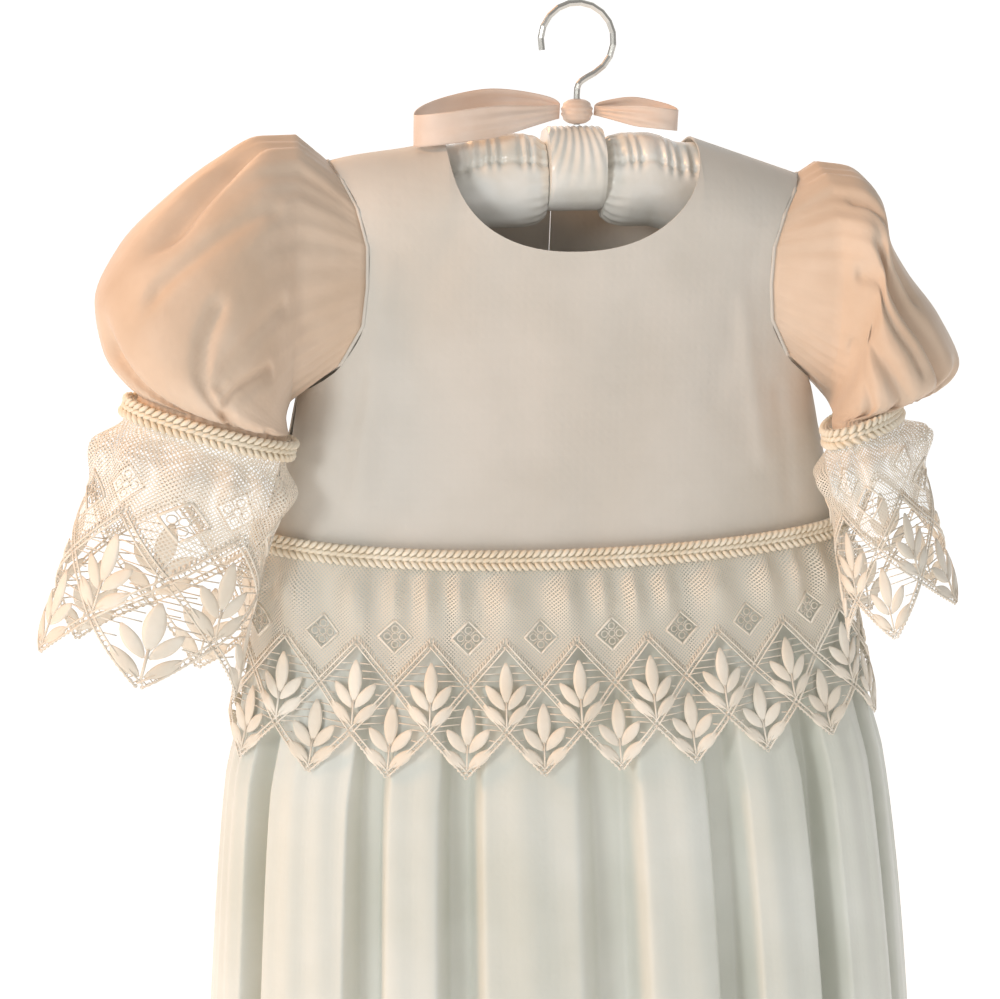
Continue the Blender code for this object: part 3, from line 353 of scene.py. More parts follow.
def bodice_normals(points, facing):
    """Outward normals of the bodice, from how its depth changes across and down."""
    x, h = points[:, 0], points[:, 2]
    step = 0.0004
    slope_x = (bodice_depth(x + step, h) - bodice_depth(x - step, h)) / (2 * step)
    slope_h = (bodice_depth(x, h + step) - bodice_depth(x, h - step)) / (2 * step)
    normals = np.stack([-slope_x, np.full(len(x), float(facing)), -slope_h], axis=-1)
    return normals / np.linalg.norm(normals, axis=1)[:, None]


def waist_h(x):
    """Height of the waist seam, which dips at the centre."""
    return WAIST_H - WAIST_FRONT_DIP * (1 - np.clip(np.abs(x) / WAIST_HALF_WIDTH, 0, 1) ** 2)


def armhole_at(t):
    """(x, h) on the armhole, t from 0 at the shoulder tip to 1 at the underarm."""
    h = ARMHOLE[0, 0] + (ARMHOLE[-1, 0] - ARMHOLE[0, 0]) * np.asarray(t, float)
    return smooth_table(-h, -ARMHOLE[:, 0], ARMHOLE[:, 1]), h


def armhole_loop(columns):
    """Points just outside the armhole, from the shoulder tip down the front and up the back.
    They follow the straight stretches between the panels' own corners."""
    corners = []
    for t in ARMHOLE_CORNERS:
        x, h = (float(v) for v in armhole_at(t))
        corners.append((x, 0.0 if t in (0, 1) else float(bodice_depth(x, h)), h))
    steps = np.linspace(0, 1, columns // 2 + 1)
    knots = np.array((0, 2, 4, 7, 10, 13, 16, 18)) / 18
    ts = np.interp(steps, knots, ARMHOLE_CORNERS)
    half = np.stack([np.interp(steps, knots, [c[a] for c in corners]) for a in range(3)], axis=-1)
    points = []
    for k in range(columns):
        facing = -1 if k <= columns // 2 else 1
        i = k if k <= columns // 2 else columns - k
        t = float(ts[i])
        edge = half[i] * [1, facing, 1]
        ahead, behind = armhole_at(min(t + 0.04, 1.0)), armhole_at(max(t - 0.04, 0.0))
        run = np.array([float(ahead[0] - behind[0]), float(ahead[1] - behind[1])])
        run /= np.hypot(*run)
        x, h = edge[0] + run[1] * 0.004, edge[2] - run[0] * 0.004
        inside = np.array([x, facing * float(bodice_depth(x, h)), h])
        away = edge - inside
        away[1] = facing * min(facing * away[1], 0) if 0.05 < t < 0.9 else 0.0
        points.append(edge + away / np.linalg.norm(away) * ARMHOLE_GAP)
    return np.array(points)


# %% Shape of the skirt
def oval_point(theta, half_width, half_depth):
    """A point on the body's oval. theta is in radians: 0 at the centre front, 90 degrees right."""
    s, c = np.sin(theta), np.cos(theta)
    x = half_width * np.sign(s) * np.abs(s) ** (2 / OVAL_POWER)
    y = -half_depth * np.sign(c) * np.abs(c) ** (2 / OVAL_POWER)
    return x, y


def oval_normal(theta, half_width, half_depth):
    """Outward unit normal of the oval, in plan."""
    s, c = np.sin(theta), np.cos(theta)
    power = 2 - 2 / OVAL_POWER
    nx = np.sign(s) * np.abs(s) ** power / half_width
    ny = -np.sign(c) * np.abs(c) ** power / half_depth
    size = np.hypot(nx, ny)
    return nx / size, ny / size


def skirt_sizes(below):
    return [smooth_table(below, SKIRT[:, 0], SKIRT[:, k]) for k in (1, 2, 3)]


def skirt_surface(theta, below, stand_off=0.0):
    """A point on the skirt's outer oval, moved out by stand_off, before its pleats."""
    half_width, half_depth, _ = skirt_sizes(below)
    x, y = oval_point(theta, half_width, half_depth)
    nx, ny = oval_normal(theta, half_width, half_depth)
    level = waist_h(x * WAIST_HALF_WIDTH / half_width) - below
    return np.stack([x + nx * stand_off, y + ny * stand_off, level + 0 * x], axis=-1)


def pleat_recess(theta, pleats):
    """0 on a pleat's raised face and 1 in the fold between two, with the faces a little full."""
    degrees = np.degrees(theta)
    raised = np.zeros_like(degrees)
    swell = np.zeros_like(degrees)
    for start, end in pleats:
        rise = smoothstep((degrees - start) / PLEAT_EDGE_WIDTH + 0.5)
        fall = smoothstep((end - degrees) / PLEAT_EDGE_WIDTH + 0.5)
        raised = np.maximum(raised, rise * fall)
        middle = np.clip((degrees - start) / (end - start), 0, 1)
        swell = np.maximum(swell, 4 * middle * (1 - middle))
    return 1 - raised, swell


def arc_shares(half_width, half_depth):
    """The oval's length, and (share of the way round, angle) from the left side seam."""
    theta = np.radians(np.linspace(-90, 270, 721))
    x, y = oval_point(theta, half_width, half_depth)
    lengths = np.concatenate([[0], np.cumsum(np.hypot(np.diff(x), np.diff(y)))])
    return lengths[-1], (lengths / lengths[-1], theta)


PEPLUM_LENGTH, PEPLUM_ARC = arc_shares(*(float(size) for size in skirt_sizes(0.05)[:2]))


# %% Shape of the sleeves, cuffs and hanger arms
def sleeve_oval(turn):
    """The sleeve's section: (up, front) on a slightly squared circle."""
    power = 2 / SLEEVE_OVAL_POWER
    up = np.sign(np.cos(turn)) * np.abs(np.cos(turn)) ** power
    front = np.sign(np.sin(turn)) * np.abs(np.sin(turn)) ** power
    return up, front


def ring_axes(row):
    """Middle of a sleeve ring, and the vectors to its upper point and to its front."""
    upper_x, upper_h, lower_x, lower_h, forward, half_depth, turned = row
    middle = np.array([(upper_x + lower_x) / 2, -forward, (upper_h + lower_h) / 2])
    upward = np.array([(upper_x - lower_x) / 2, 0, (upper_h - lower_h) / 2])
    angle = math.radians(turned)
    return middle, upward, half_depth * np.array([-math.sin(angle), -math.cos(angle), 0])


def sleeve_ring(row, turn):
    """One ring of a sleeve, in the plane of its upper and lower points and y."""
    middle, upward, forward = ring_axes(row)
    up, front = sleeve_oval(turn)
    return middle + up[:, None] * upward + front[:, None] * forward


def ring_normals(ring):
    """Outward unit normals of a ring, in its own plane."""
    tangent = np.roll(ring, -1, axis=0) - np.roll(ring, 1, axis=0)
    middle = ring.mean(axis=0)
    plane = np.cross(ring[0] - middle, ring[len(ring) // 4] - middle)
    normals = np.cross(tangent, plane / np.linalg.norm(plane))
    normals /= np.linalg.norm(normals, axis=1)[:, None]
    outward = np.sign(np.einsum("ij,ij->i", normals, ring - middle))
    return normals * outward[:, None]


def fold_depth(folds, along, turn, ring_radius):
    """How far the folds press the cloth in at places (along, turn) of a sleeve."""
    total = np.zeros(len(turn))
    for along_a, turn_a, along_b, turn_b, half_width, depth in folds:
        start = np.array([along_a * SLEEVE_LENGTH, math.radians(turn_a) * ring_radius])
        end = np.array([along_b * SLEEVE_LENGTH, math.radians(turn_b) * ring_radius])
        places = np.stack([np.full(len(turn), along * SLEEVE_LENGTH), turn * ring_radius], axis=-1)
        run = end - start
        share = np.clip((places - start) @ run / (run @ run), 0, 1)
        away = np.linalg.norm(places - start - share[:, None] * run, axis=1)
        total += depth * np.exp(-((away / half_width) ** 2))
    return total


def cuff_surface(row, hang, side, share, down, stand_out):
    """A point outside the sleeve's end, share of the way round from its outer edge over the
    front and down along the way the cuff hangs."""
    centre, upward, forward = ring_axes(row)
    up, front = sleeve_oval(2 * math.pi * share)
    half_height, half_depth = np.linalg.norm(upward), np.linalg.norm(forward)
    level = centre + (np.asarray(down) + CUFF_BELOW_GATHERS)[..., None] * np.asarray(hang)
    across = (up * (1 + stand_out / half_height))[..., None] * upward
    deep = (front * (1 + stand_out / half_depth))[..., None] * forward
    return (level + across + deep) * np.array([side, 1, 1])


def arm_top(x):
    """Top line of a padded arm, x from the neck's centre: just under the shoulder seam, and
    higher inside the neck."""
    under_cloth = shoulder_ridge(np.maximum(np.abs(x), 0.064)) - BODICE_WALL - SEAM_GAP
    return under_cloth + ARM_NECK_RISE * smoothstep((NECK_HALF_WIDTH - 0.004 - np.abs(x)) / 0.018)


# %% [markdown]
# ## Materials
# Colours are written as they look on a screen and turned to linear light by one function. Each
# cloth is a Principled shader with a weave in its bump, drawn from the cloth's own UV map in
# metres, so a thread keeps its size wherever the cloth bends.

# %% Colour and node helpers
def linear(hex_colour):
    """A screen colour such as #f0e8dc as linear light with full alpha."""
    made = []
    for k in (1, 3, 5):
        value = int(hex_colour[k:k + 2], 16) / 255
        made.append(value / 12.92 if value <= 0.04045 else ((value + 0.055) / 1.055) ** 2.4)
    return (*made, 1.0)


def add(tree, kind, settings=None, inputs=None):
    """Adds a node with its settings; an input is a value or a socket to link from."""
    node = tree.nodes.new(kind)
    for key, value in (settings or {}).items():
        setattr(node, key, value)
    for key, value in (inputs or {}).items():
        if isinstance(value, bpy.types.NodeSocket):
            tree.links.new(value, node.inputs[key])
        else:
            node.inputs[key].default_value = value
    return node


def finish_of(name, **constants):
    """A new material with constants set on its Principled shader."""
    made = bpy.data.materials.new(name)
    made.use_nodes = True
    shader = made.node_tree.nodes["Principled BSDF"]
    for key, value in constants.items():
        shader.inputs[key.replace("_", " ")].default_value = value
    return made, made.node_tree, shader


def cloth_finish(name, light, dark, thread_mm, patch_mm, weave, **constants):
    """Woven cloth: uneven colour between two shades, and a plain weave in the bump."""
    made, tree, shader = finish_of(name, **constants)
    place = add(tree, "ShaderNodeTexCoord")
    patches = add(tree, "ShaderNodeTexNoise", inputs={
        "Vector": place.outputs["Object"], "Scale": 1000 / patch_mm, "Detail": 4.0,
    })
    shades = add(tree, "ShaderNodeValToRGB", inputs={"Fac": patches.outputs["Fac"]})
    shades.color_ramp.elements[0].position = 0.35
    shades.color_ramp.elements[0].color = linear(dark)
    shades.color_ramp.elements[1].position = 0.65
    shades.color_ramp.elements[1].color = linear(light)
    tree.links.new(shades.outputs["Color"], shader.inputs["Base Color"])
    waves = []
    for direction, spacing in (("X", thread_mm), ("Y", thread_mm * 1.15)):
        waves.append(add(tree, "ShaderNodeTexWave", {"bands_direction": direction}, {
            "Vector": place.outputs["UV"], "Scale": 1000 / spacing / 20,
            "Distortion": 1.5, "Detail": 1.0, "Detail Scale": 3.0,
        }))
    both = add(tree, "ShaderNodeMath", {"operation": "MULTIPLY"}, {
        0: waves[0].outputs["Fac"], 1: waves[1].outputs["Fac"],
    })
    bump = add(tree, "ShaderNodeBump", inputs={
        "Height": both.outputs["Value"], "Strength": weave, "Distance": thread_mm / 4000,
    })
    crush = add(tree, "ShaderNodeTexNoise", inputs={
        "Vector": place.outputs["Object"], "Scale": 55.0, "Detail": 3.0,
    })
    soft = add(tree, "ShaderNodeBump", inputs={
        "Height": crush.outputs["Fac"], "Strength": 0.12, "Distance": 0.004,
        "Normal": bump.outputs["Normal"],
    })
    tree.links.new(soft.outputs["Normal"], shader.inputs["Normal"])
    return made


# %% Satin, chiffon, organza
# Dull satin of the bodice: a close weave with a soft glow. Threads of 0.25 mm are too fine to
# show, so they are drawn at 0.6 mm.
BODICE_SATIN = cloth_finish(
    "bodice_duchess_satin", "#d8d2c9", "#cfc9bf", 0.6, 60, 0.25,
    Roughness=0.52, Sheen_Weight=0.25, Sheen_Roughness=0.4, Specular_IOR_Level=0.42,
)
# Satin of the skirt: the same cloth with a softer and clearer gloss, tinted cooler all over as
# painted shade of its folds.
SKIRT_SATIN = cloth_finish(
    "skirt_satin", "#dfe1da", "#d3d5cb", 0.6, 90, 0.2,
    Roughness=0.40, Sheen_Weight=0.2, Specular_IOR_Level=0.5,
)
# Chiffon of the sleeves: a sheer weave, so some light goes through, warm where it doubles.
CHIFFON = cloth_finish(
    "sleeve_silk_chiffon", "#ead3bd", "#dcc2a9", 0.7, 50, 0.3,
    Roughness=0.55, Sheen_Weight=0.4, Sheen_Roughness=0.35, Alpha=0.88,
)
ORGANZA = cloth_finish(
    "bow_silk_organza", "#f1ded0", "#e6cbb6", 0.5, 40, 0.2,
    Roughness=0.38, Sheen_Weight=0.3, Alpha=0.88,
)
# Slippery lining satin round the hanger's padding, the shiniest cloth here.
HANGER_SATIN = cloth_finish(
    "hanger_lining_satin", "#f2f0ea", "#e2ddd2", 0.5, 30, 0.12,
    Roughness=0.24, Specular_IOR_Level=0.6, Sheen_Weight=0.1,
)
# Mercerised cotton of the guipure lace and the gimp: matt thread with a little gloss. Twist of
# the thread is drawn as a fine bump, 0.5 mm from turn to turn.
LACE_THREAD = cloth_finish(
    "guipure_cotton_thread", "#f3ecdf", "#e8ddcc", 0.5, 25, 0.5,
    Roughness=0.62, Sheen_Weight=0.3, Specular_IOR_Level=0.35,
)
GIMP_THREAD = cloth_finish(
    "gimp_viscose_cord", "#f3ead8", "#e8dac2", 0.5, 20, 0.5,
    Roughness=0.45, Sheen_Weight=0.2, Specular_IOR_Level=0.5,
)
# Pearl of the buttons and drawn, polished steel wire of the hook.
PEARL, pearl_tree, pearl_shader = finish_of(
    "moulded_pearl", Base_Color=linear("#f2ece0"), Roughness=0.22,
    Coat_Weight=0.5, Coat_Roughness=0.1,
)
cloudy = add(pearl_tree, "ShaderNodeTexNoise", inputs={"Scale": 300.0, "Detail": 3.0})
pearl_bump = add(pearl_tree, "ShaderNodeBump", inputs={
    "Height": cloudy.outputs["Fac"], "Strength": 0.05, "Distance": 0.0005,
})
pearl_tree.links.new(pearl_bump.outputs["Normal"], pearl_shader.inputs["Normal"])
STEEL, steel_tree, steel_shader = finish_of(
    "drawn_steel_wire", Base_Color=linear("#c9c6c0"), Metallic=1.0, Roughness=0.24,
)
steel_place = add(steel_tree, "ShaderNodeTexCoord")
scratches = add(steel_tree, "ShaderNodeTexNoise", inputs={
    "Vector": steel_place.outputs["Object"], "Scale": 900.0, "Detail": 2.0,
})
steel_bump = add(steel_tree, "ShaderNodeBump", inputs={
    "Height": scratches.outputs["Fac"], "Strength": 0.08, "Distance": 0.0003,
})
steel_tree.links.new(steel_bump.outputs["Normal"], steel_shader.inputs["Normal"])

# %% [markdown]
# ## The lace's net ground
# Guipure has no backing: what shows between its leaves is a net of thin threads. The threads
# are drawn in the material, 1.8 mm from one to the next and cut by alpha, because as cords they
# would need millions of faces.

# %% Net material
def net_finish(name, light, mesh_mm, thread_share):
    made, tree, shader = finish_of(name, Base_Color=linear(light), Roughness=0.7, Sheen_Weight=0.3)
    place = add(tree, "ShaderNodeTexCoord")
    split = add(tree, "ShaderNodeSeparateXYZ", inputs={"Vector": place.outputs["UV"]})
    slants = []
    for sign in (1.0, -1.0):
        across = add(tree, "ShaderNodeMath", {"operation": "MULTIPLY_ADD"}, {
            0: split.outputs["Y"], 1: sign, 2: split.outputs["X"],
        })
        turns = add(tree, "ShaderNodeMath", {"operation": "MULTIPLY"}, {
            0: across.outputs["Value"], 1: 1000 / mesh_mm,
        })
        part = add(tree, "ShaderNodeMath", {"operation": "FRACT"}, {0: turns.outputs["Value"]})
        centred = add(tree, "ShaderNodeMath", {"operation": "SUBTRACT"}, {
            0: part.outputs["Value"], 1: 0.5,
        })
        size = add(tree, "ShaderNodeMath", {"operation": "ABSOLUTE"}, {0: centred.outputs["Value"]})
        slants.append(size)
    widest = add(tree, "ShaderNodeMath", {"operation": "MAXIMUM"}, {
        0: slants[0].outputs["Value"], 1: slants[1].outputs["Value"],
    })
    thread = add(tree, "ShaderNodeMath", {"operation": "GREATER_THAN"}, {
        0: widest.outputs["Value"], 1: 0.5 - thread_share / 2,
    })
    tree.links.new(thread.outputs["Value"], shader.inputs["Alpha"])
    bump = add(tree, "ShaderNodeBump", inputs={
        "Height": widest.outputs["Value"], "Strength": 0.6, "Distance": 0.0004,
    })
    tree.links.new(bump.outputs["Normal"], shader.inputs["Normal"])
    return made


LACE_NET = net_finish("guipure_net_ground", "#ece4d6", 1.8, 0.36)
print("materials:", len(bpy.data.materials))


# %% [markdown]
# ## Helpers for meshes
# Cloth is made as two sheets, the outer one and the same sheet moved in by the cloth's
# thickness, joined round the edge. Each point keeps its place on the flat cloth as a UV value
# in metres, so that the weave follows the cloth when it bends.

# %% Mesh helpers
def mesh_piece(name, points, faces, finish, uv=None, sharp=None, mend=False):
    """Makes one object at the origin from points, faces and each point's place on the cloth."""
    mesh = bpy.data.meshes.new(name)
    mesh.from_pydata(np.asarray(points).tolist(), [], [list(f) for f in faces])
    if uv is not None:
        layer = mesh.uv_layers.new(name="cloth")
        corners = np.empty(len(mesh.loops), dtype=np.int64)
        mesh.loops.foreach_get("vertex_index", corners)
        layer.data.foreach_set("uv", np.asarray(uv)[corners].astype(np.float32).ravel())
    if mend:
        work = bmesh.new()
        work.from_mesh(mesh)
        bmesh.ops.recalc_face_normals(work, faces=work.faces[:])
        work.to_mesh(mesh)
        work.free()
    mesh.materials.append(finish)
    mesh.shade_smooth()
    if sharp:
        mesh.set_sharp_from_angle(angle=math.radians(sharp))
    piece = bpy.data.objects.new(name, mesh)
    bpy.context.scene.collection.objects.link(piece)
    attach(piece, "root")
    return piece


def shell(outer, faces, thickness, normals=None):
    """Points and faces of a thin closed wall from its outer sheet."""
    outer = np.asarray(outer, float)
    if normals is None:
        normals = point_normals(outer, faces)
    count = len(outer)
    sides = [(f[i], f[(i + 1) % len(f)]) for f in faces for i in range(len(f))]
    known = set(sides)
    solid = [tuple(f) for f in faces]
    solid += [tuple(count + i for i in reversed(f)) for f in faces]
    solid += [(b, a, a + count, b + count) for a, b in sides if (b, a) not in known]
    return np.vstack([outer, outer - normals * thickness]), solid


# %% [markdown]
# ## Repeating small things
# A braid's beads and a lace edge's loops repeat hundreds of times. A Geometry Nodes tree puts
# one small mesh on every point of a cloud, turned by the point's own angles, and the result is
# turned into a plain mesh.

# %% Geometry Nodes: one small mesh on many points
def repeat_on_points(name, places, turns, item, finish, size=1.0):
    """Puts item on every place, turned by its Euler angles, as one plain mesh piece."""
    cloud = bpy.data.meshes.new(name + "_places")
    cloud.from_pydata(np.asarray(places).tolist(), [], [])
    angles = cloud.attributes.new("turn", "FLOAT_VECTOR", "POINT")
    angles.data.foreach_set("vector", np.asarray(turns, dtype=np.float32).ravel())
    holder = bpy.data.objects.new(name + "_cloud", cloud)
    bpy.context.scene.collection.objects.link(holder)
    tree = bpy.data.node_groups.new("repeat_on_points", "GeometryNodeTree")
    face = tree.interface
    face.new_socket("Places", in_out="INPUT", socket_type="NodeSocketGeometry")
    face.new_socket("Item", in_out="INPUT", socket_type="NodeSocketObject")
    face.new_socket("Size", in_out="INPUT", socket_type="NodeSocketFloat")
    face.new_socket("Finish", in_out="INPUT", socket_type="NodeSocketMaterial")
    face.new_socket("Mesh", in_out="OUTPUT", socket_type="NodeSocketGeometry")
    start = add(tree, "NodeGroupInput")
    info = add(tree, "GeometryNodeObjectInfo", inputs={"Object": start.outputs["Item"]})
    turn = add(tree, "GeometryNodeInputNamedAttribute", {"data_type": "FLOAT_VECTOR"}, {
        "Name": "turn",
    })
    to_turn = add(tree, "FunctionNodeEulerToRotation", inputs={"Euler": turn.outputs["Attribute"]})
    placed = add(tree, "GeometryNodeInstanceOnPoints", inputs={
        "Points": start.outputs["Places"], "Instance": info.outputs["Geometry"],
        "Rotation": to_turn.outputs["Rotation"], "Scale": start.outputs["Size"],
    })
    real = add(tree, "GeometryNodeRealizeInstances", inputs={
        "Geometry": placed.outputs["Instances"],
    })
    painted = add(tree, "GeometryNodeSetMaterial", inputs={
        "Geometry": real.outputs["Geometry"], "Material": start.outputs["Finish"],
    })
    add(tree, "NodeGroupOutput", inputs={"Mesh": painted.outputs["Geometry"]})
    modifier = holder.modifiers.new("repeat", "NODES")
    modifier.node_group = tree
    sockets = {s.name: s.identifier for s in face.items_tree if s.in_out == "INPUT"}
    modifier[sockets["Item"]] = item
    modifier[sockets["Size"]] = size
    modifier[sockets["Finish"]] = finish
    depsgraph = bpy.context.evaluated_depsgraph_get()
    made = bpy.data.meshes.new_from_object(holder.evaluated_get(depsgraph))
    made.name = name
    made.shade_smooth()
    bpy.data.objects.remove(holder)
    piece = bpy.data.objects.new(name, made)
    bpy.context.scene.collection.objects.link(piece)
    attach(piece, "root")
    print(name, len(places), "repeats,", len(made.polygons), "faces")
    return piece


def item_mesh(name, points, faces):
    """A small mesh used only as the thing repeated. Its user removes it."""
    mesh = bpy.data.meshes.new(name)
    mesh.from_pydata([tuple(p) for p in points], [], faces)
    mesh.shade_smooth()
    item = bpy.data.objects.new(name, mesh)
    bpy.context.scene.collection.objects.link(item)
    return item


def bead(name, long, wide, high, rings=5, sides=8):
    """A plump oval of thread, long along x, as a small closed mesh."""
    points = [(-long / 2, 0, 0)]
    for r in range(1, rings):
        along = -math.cos(math.pi * r / rings)
        width = math.sin(math.pi * r / rings)
        for s in range(sides):
            turn = 2 * math.pi * s / sides
            y, z = width * wide / 2 * math.cos(turn), width * high / 2 * math.sin(turn)
            points.append((along * long / 2, y, z))
    points.append((long / 2, 0, 0))
    faces = [(0, 1 + (s + 1) % sides, 1 + s) for s in range(sides)]
    for r in range(rings - 2):
        for s in range(sides):
            a, b = 1 + r * sides + s, 1 + r * sides + (s + 1) % sides
            faces.append((a, b, b + sides, a + sides))
    last = 1 + (rings - 2) * sides
    faces += [(len(points) - 1, last + s, last + (s + 1) % sides) for s in range(sides)]
    return item_mesh(name, points, faces)


def ring_item(name, radius, thread, around=10, sides=4):
    """A small ring of thread lying flat, as a closed mesh."""
    points = []
    for k in range(around):
        turn = 2 * math.pi * k / around
        for s in range(sides):
            lift = 2 * math.pi * s / sides
            out = radius + thread * math.cos(lift)
            points.append((out * math.cos(turn), out * math.sin(turn), thread * math.sin(lift)))
    faces = []
    for k in range(around):
        for s in range(sides):
            a, b = k * sides + s, k * sides + (s + 1) % sides
            c, d = ((k + 1) % around) * sides + (s + 1) % sides, ((k + 1) % around) * sides + s
            faces.append((a, d, c, b))
    return item_mesh(name, points, faces)


def euler_from_axes(x_axes, z_axes):
    """Euler angles that turn +x to each x axis and +z as near as can be to each z axis."""
    turns = []
    for x_axis, z_axis in zip(x_axes, z_axes):
        x = Vector(x_axis).normalized()
        y = Vector(z_axis).cross(x).normalized()
        z = x.cross(y)
        turns.append(tuple(Matrix((x, y, z)).transposed().to_euler()))
    return turns


# %% [markdown]
# ## Bodice
# The bodice is one smooth front and two backs. It is worked out column by column from the
# waist to the armhole, shoulder or neckline, as the solid is, but with many more columns, and
# a few soft pulls are pressed in where the sleeves drag at it.

# %% Bodice panels
CLOTH = 0.0008
BODICE_PULLS = (
    # x, h, x, h, half_width, depth
    (-0.088, -0.060, -0.100, -0.168, 0.0060, -0.0011),
    (-0.099, -0.110, -0.112, -0.176, 0.0040, 0.0009),
    (-0.050, -0.020, -0.078, -0.095, 0.0080, 0.0006),
    (0.082, -0.075, 0.096, -0.150, 0.0050, -0.0011),
    (0.092, -0.040, 0.070, -0.120, 0.0070, 0.0007),
    (0.104, -0.120, 0.112, -0.172, 0.0040, 0.0010),
    (-0.030, -0.070, -0.022, -0.150, 0.0140, 0.0006),
    (0.032, -0.085, 0.020, -0.160, 0.0150, 0.0007),
    (0.000, -0.125, 0.010, -0.185, 0.0120, 0.0005),
)


def pulls(x, h, lines):
    """How far the listed troughs press the cloth in at (x, h)."""
    total = np.zeros(np.shape(x))
    for x0, h0, x1, h1, half_width, depth in lines:
        run = np.array([x1 - x0, h1 - h0])
        share = np.clip(((x - x0) * run[0] + (h - h0) * run[1]) / (run @ run), 0, 1)
        away = np.hypot(x - x0 - share * run[0], h - h0 - share * run[1])
        total += depth * np.exp(-((away / half_width) ** 2))
    return total


def bodice_edges(neck_drop, fine):
    """Half of a panel from side to centre: waist x, chest x, top x and top h."""
    s = np.linspace(0, 19, 19 * fine + 1)
    chest = np.interp(s, range(20), CHEST_COLUMNS)
    t = np.interp(s, range(8), ARMHOLE_CORNERS[::-1])
    arm_x, arm_h = armhole_at(t)
    shoulder_x = SHOULDER_TIP[0] + (NECK_HALF_WIDTH - SHOULDER_TIP[0]) * (s - 7) / 4
    turn = math.pi / 2 * np.interp(s, range(11, 20), NECK_CORNERS)
    neck_x = NECK_HALF_WIDTH * np.clip(np.cos(turn), 0, 1) ** (2 / NECK_ROUNDNESS)
    neck_h = -neck_drop * np.sin(turn) ** (2 / NECK_ROUNDNESS)
    top_x = np.where(s <= 7, arm_x, np.where(s < 11, shoulder_x, neck_x))
    top_h = np.where(s <= 7, arm_h, np.where(s < 11, shoulder_ridge(shoulder_x), neck_h))
    top_x[-1] = 0.0
    return np.stack([chest * WAIST_HALF_WIDTH / CHEST_COLUMNS[0], chest, top_x, top_h], axis=-1)


def bodice_piece(name, edges, facing, cad_nodes):
    waist_x, chest_x, top_x, top_h = edges.T
    rows = []
    for up in np.linspace(0, 1, 16)[:-1]:
        bottom = waist_h(waist_x) + SEAM_GAP
        rows.append((waist_x + (chest_x - waist_x) * up, bottom + (CHEST_H - bottom) * up))
    for up in 1 - (1 - np.linspace(0, 1, 40)) ** 1.7:
        bend = np.where(np.abs(top_x) > np.abs(chest_x), 5.0, 1.0)
        rows.append((chest_x + (top_x - chest_x) * up**bend, CHEST_H + (top_h - CHEST_H) * up))
    x = np.concatenate([r[0] for r in rows])
    h = np.concatenate([r[1] for r in rows])
    depth = bodice_depth(x, h)
    fade = smoothstep(depth / 0.02)
    depth = np.maximum(depth - pulls(x, h, BODICE_PULLS) * fade, HALF_SEAM)
    points = np.stack([x, facing * depth, h], axis=-1)
    faces = grid_faces(len(rows), len(edges), flip=facing > 0)
    normals = bodice_normals(points, facing)
    solid, solid_faces = shell(points, faces, CLOTH, normals)
    uv = np.tile(np.stack([x, h], axis=-1), (2, 1))
    piece = mesh_piece(name, in_world(solid), solid_faces, BODICE_SATIN, uv, sharp=60)
    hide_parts(*cad_nodes)
    return piece


front = bodice_edges(FRONT_NECK_DROP, 4)
across = np.vstack([front * [-1, -1, -1, 1], front[::-1][1:]])
bodice_piece("bodice_front_satin", across, -1, ["bodice_front"])
back = bodice_edges(BACK_NECK_DROP, 4)
back[-1, :3] = HALF_SEAM
bodice_piece("bodice_back_right_satin", back[::-1], 1, ["bodice_back_right"])
bodice_piece("bodice_back_left_satin", back * [-1, -1, -1, 1], 1, ["bodice_back_left"])

# %% [markdown]
# ## Skirt
# The skirt falls in box pleats. Between two raised faces the cloth turns back, so each pleat
# has a crisp edge and a shaded fold. Faces are a little full and uneven, as in a satin that
# has been pressed only at the waist.

# %% Skirt panels
def skirt_piece(name, start, end, pleats, cad_node):
    degrees = np.linspace(start, end, 541)
    angles = np.radians(degrees)
    recess, swell = pleat_recess(angles, pleats)
    rows = []
    upper, lower = np.linspace(0.0004, 0.12, 14), np.linspace(0.12, SKIRT_LENGTH, 34)
    levels = np.concatenate([upper, lower[1:]])
    for below in levels:
        pleat_depth = skirt_sizes(below)[2]
        fullness = PLEAT_FACE_SWELL * smoothstep(below / 0.2)
        soft = 0.0006 * smoothstep(below / 0.1) * np.sin(degrees * 0.31 + 7 * below + 1.3)
        soft = soft + 0.0005 * smoothstep(below / 0.06) * np.sin(degrees * 0.83 - 11 * below)
        crisp = smoothstep(recess) * (1 + 0.5 * smoothstep(below / 0.15))
        inward = crisp * pleat_depth + (1 - swell) * fullness + soft * (1 - recess)
        row = skirt_surface(angles, max(float(below), SEAM_GAP), -inward)
        row[[0, -1], 1] = math.copysign(HALF_SEAM, row[len(row) // 2, 1])
        rows.append(row)
    points = np.vstack(rows)
    faces = grid_faces(len(rows), len(angles), flip=True)
    solid, solid_faces = shell(points, faces, 0.0010)
    along = np.tile(angles * 0.19, len(rows))
    uv = np.tile(np.stack([along, np.repeat(levels, len(angles))], axis=-1), (2, 1))
    piece = mesh_piece(name, in_world(solid), solid_faces, SKIRT_SATIN, uv)
    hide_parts(cad_node)
    return piece


skirt_piece("skirt_front_satin", -90, 90, FRONT_PLEATS, "skirt_front")
skirt_piece("skirt_back_satin", 90, 270, BACK_PLEATS, "skirt_back")
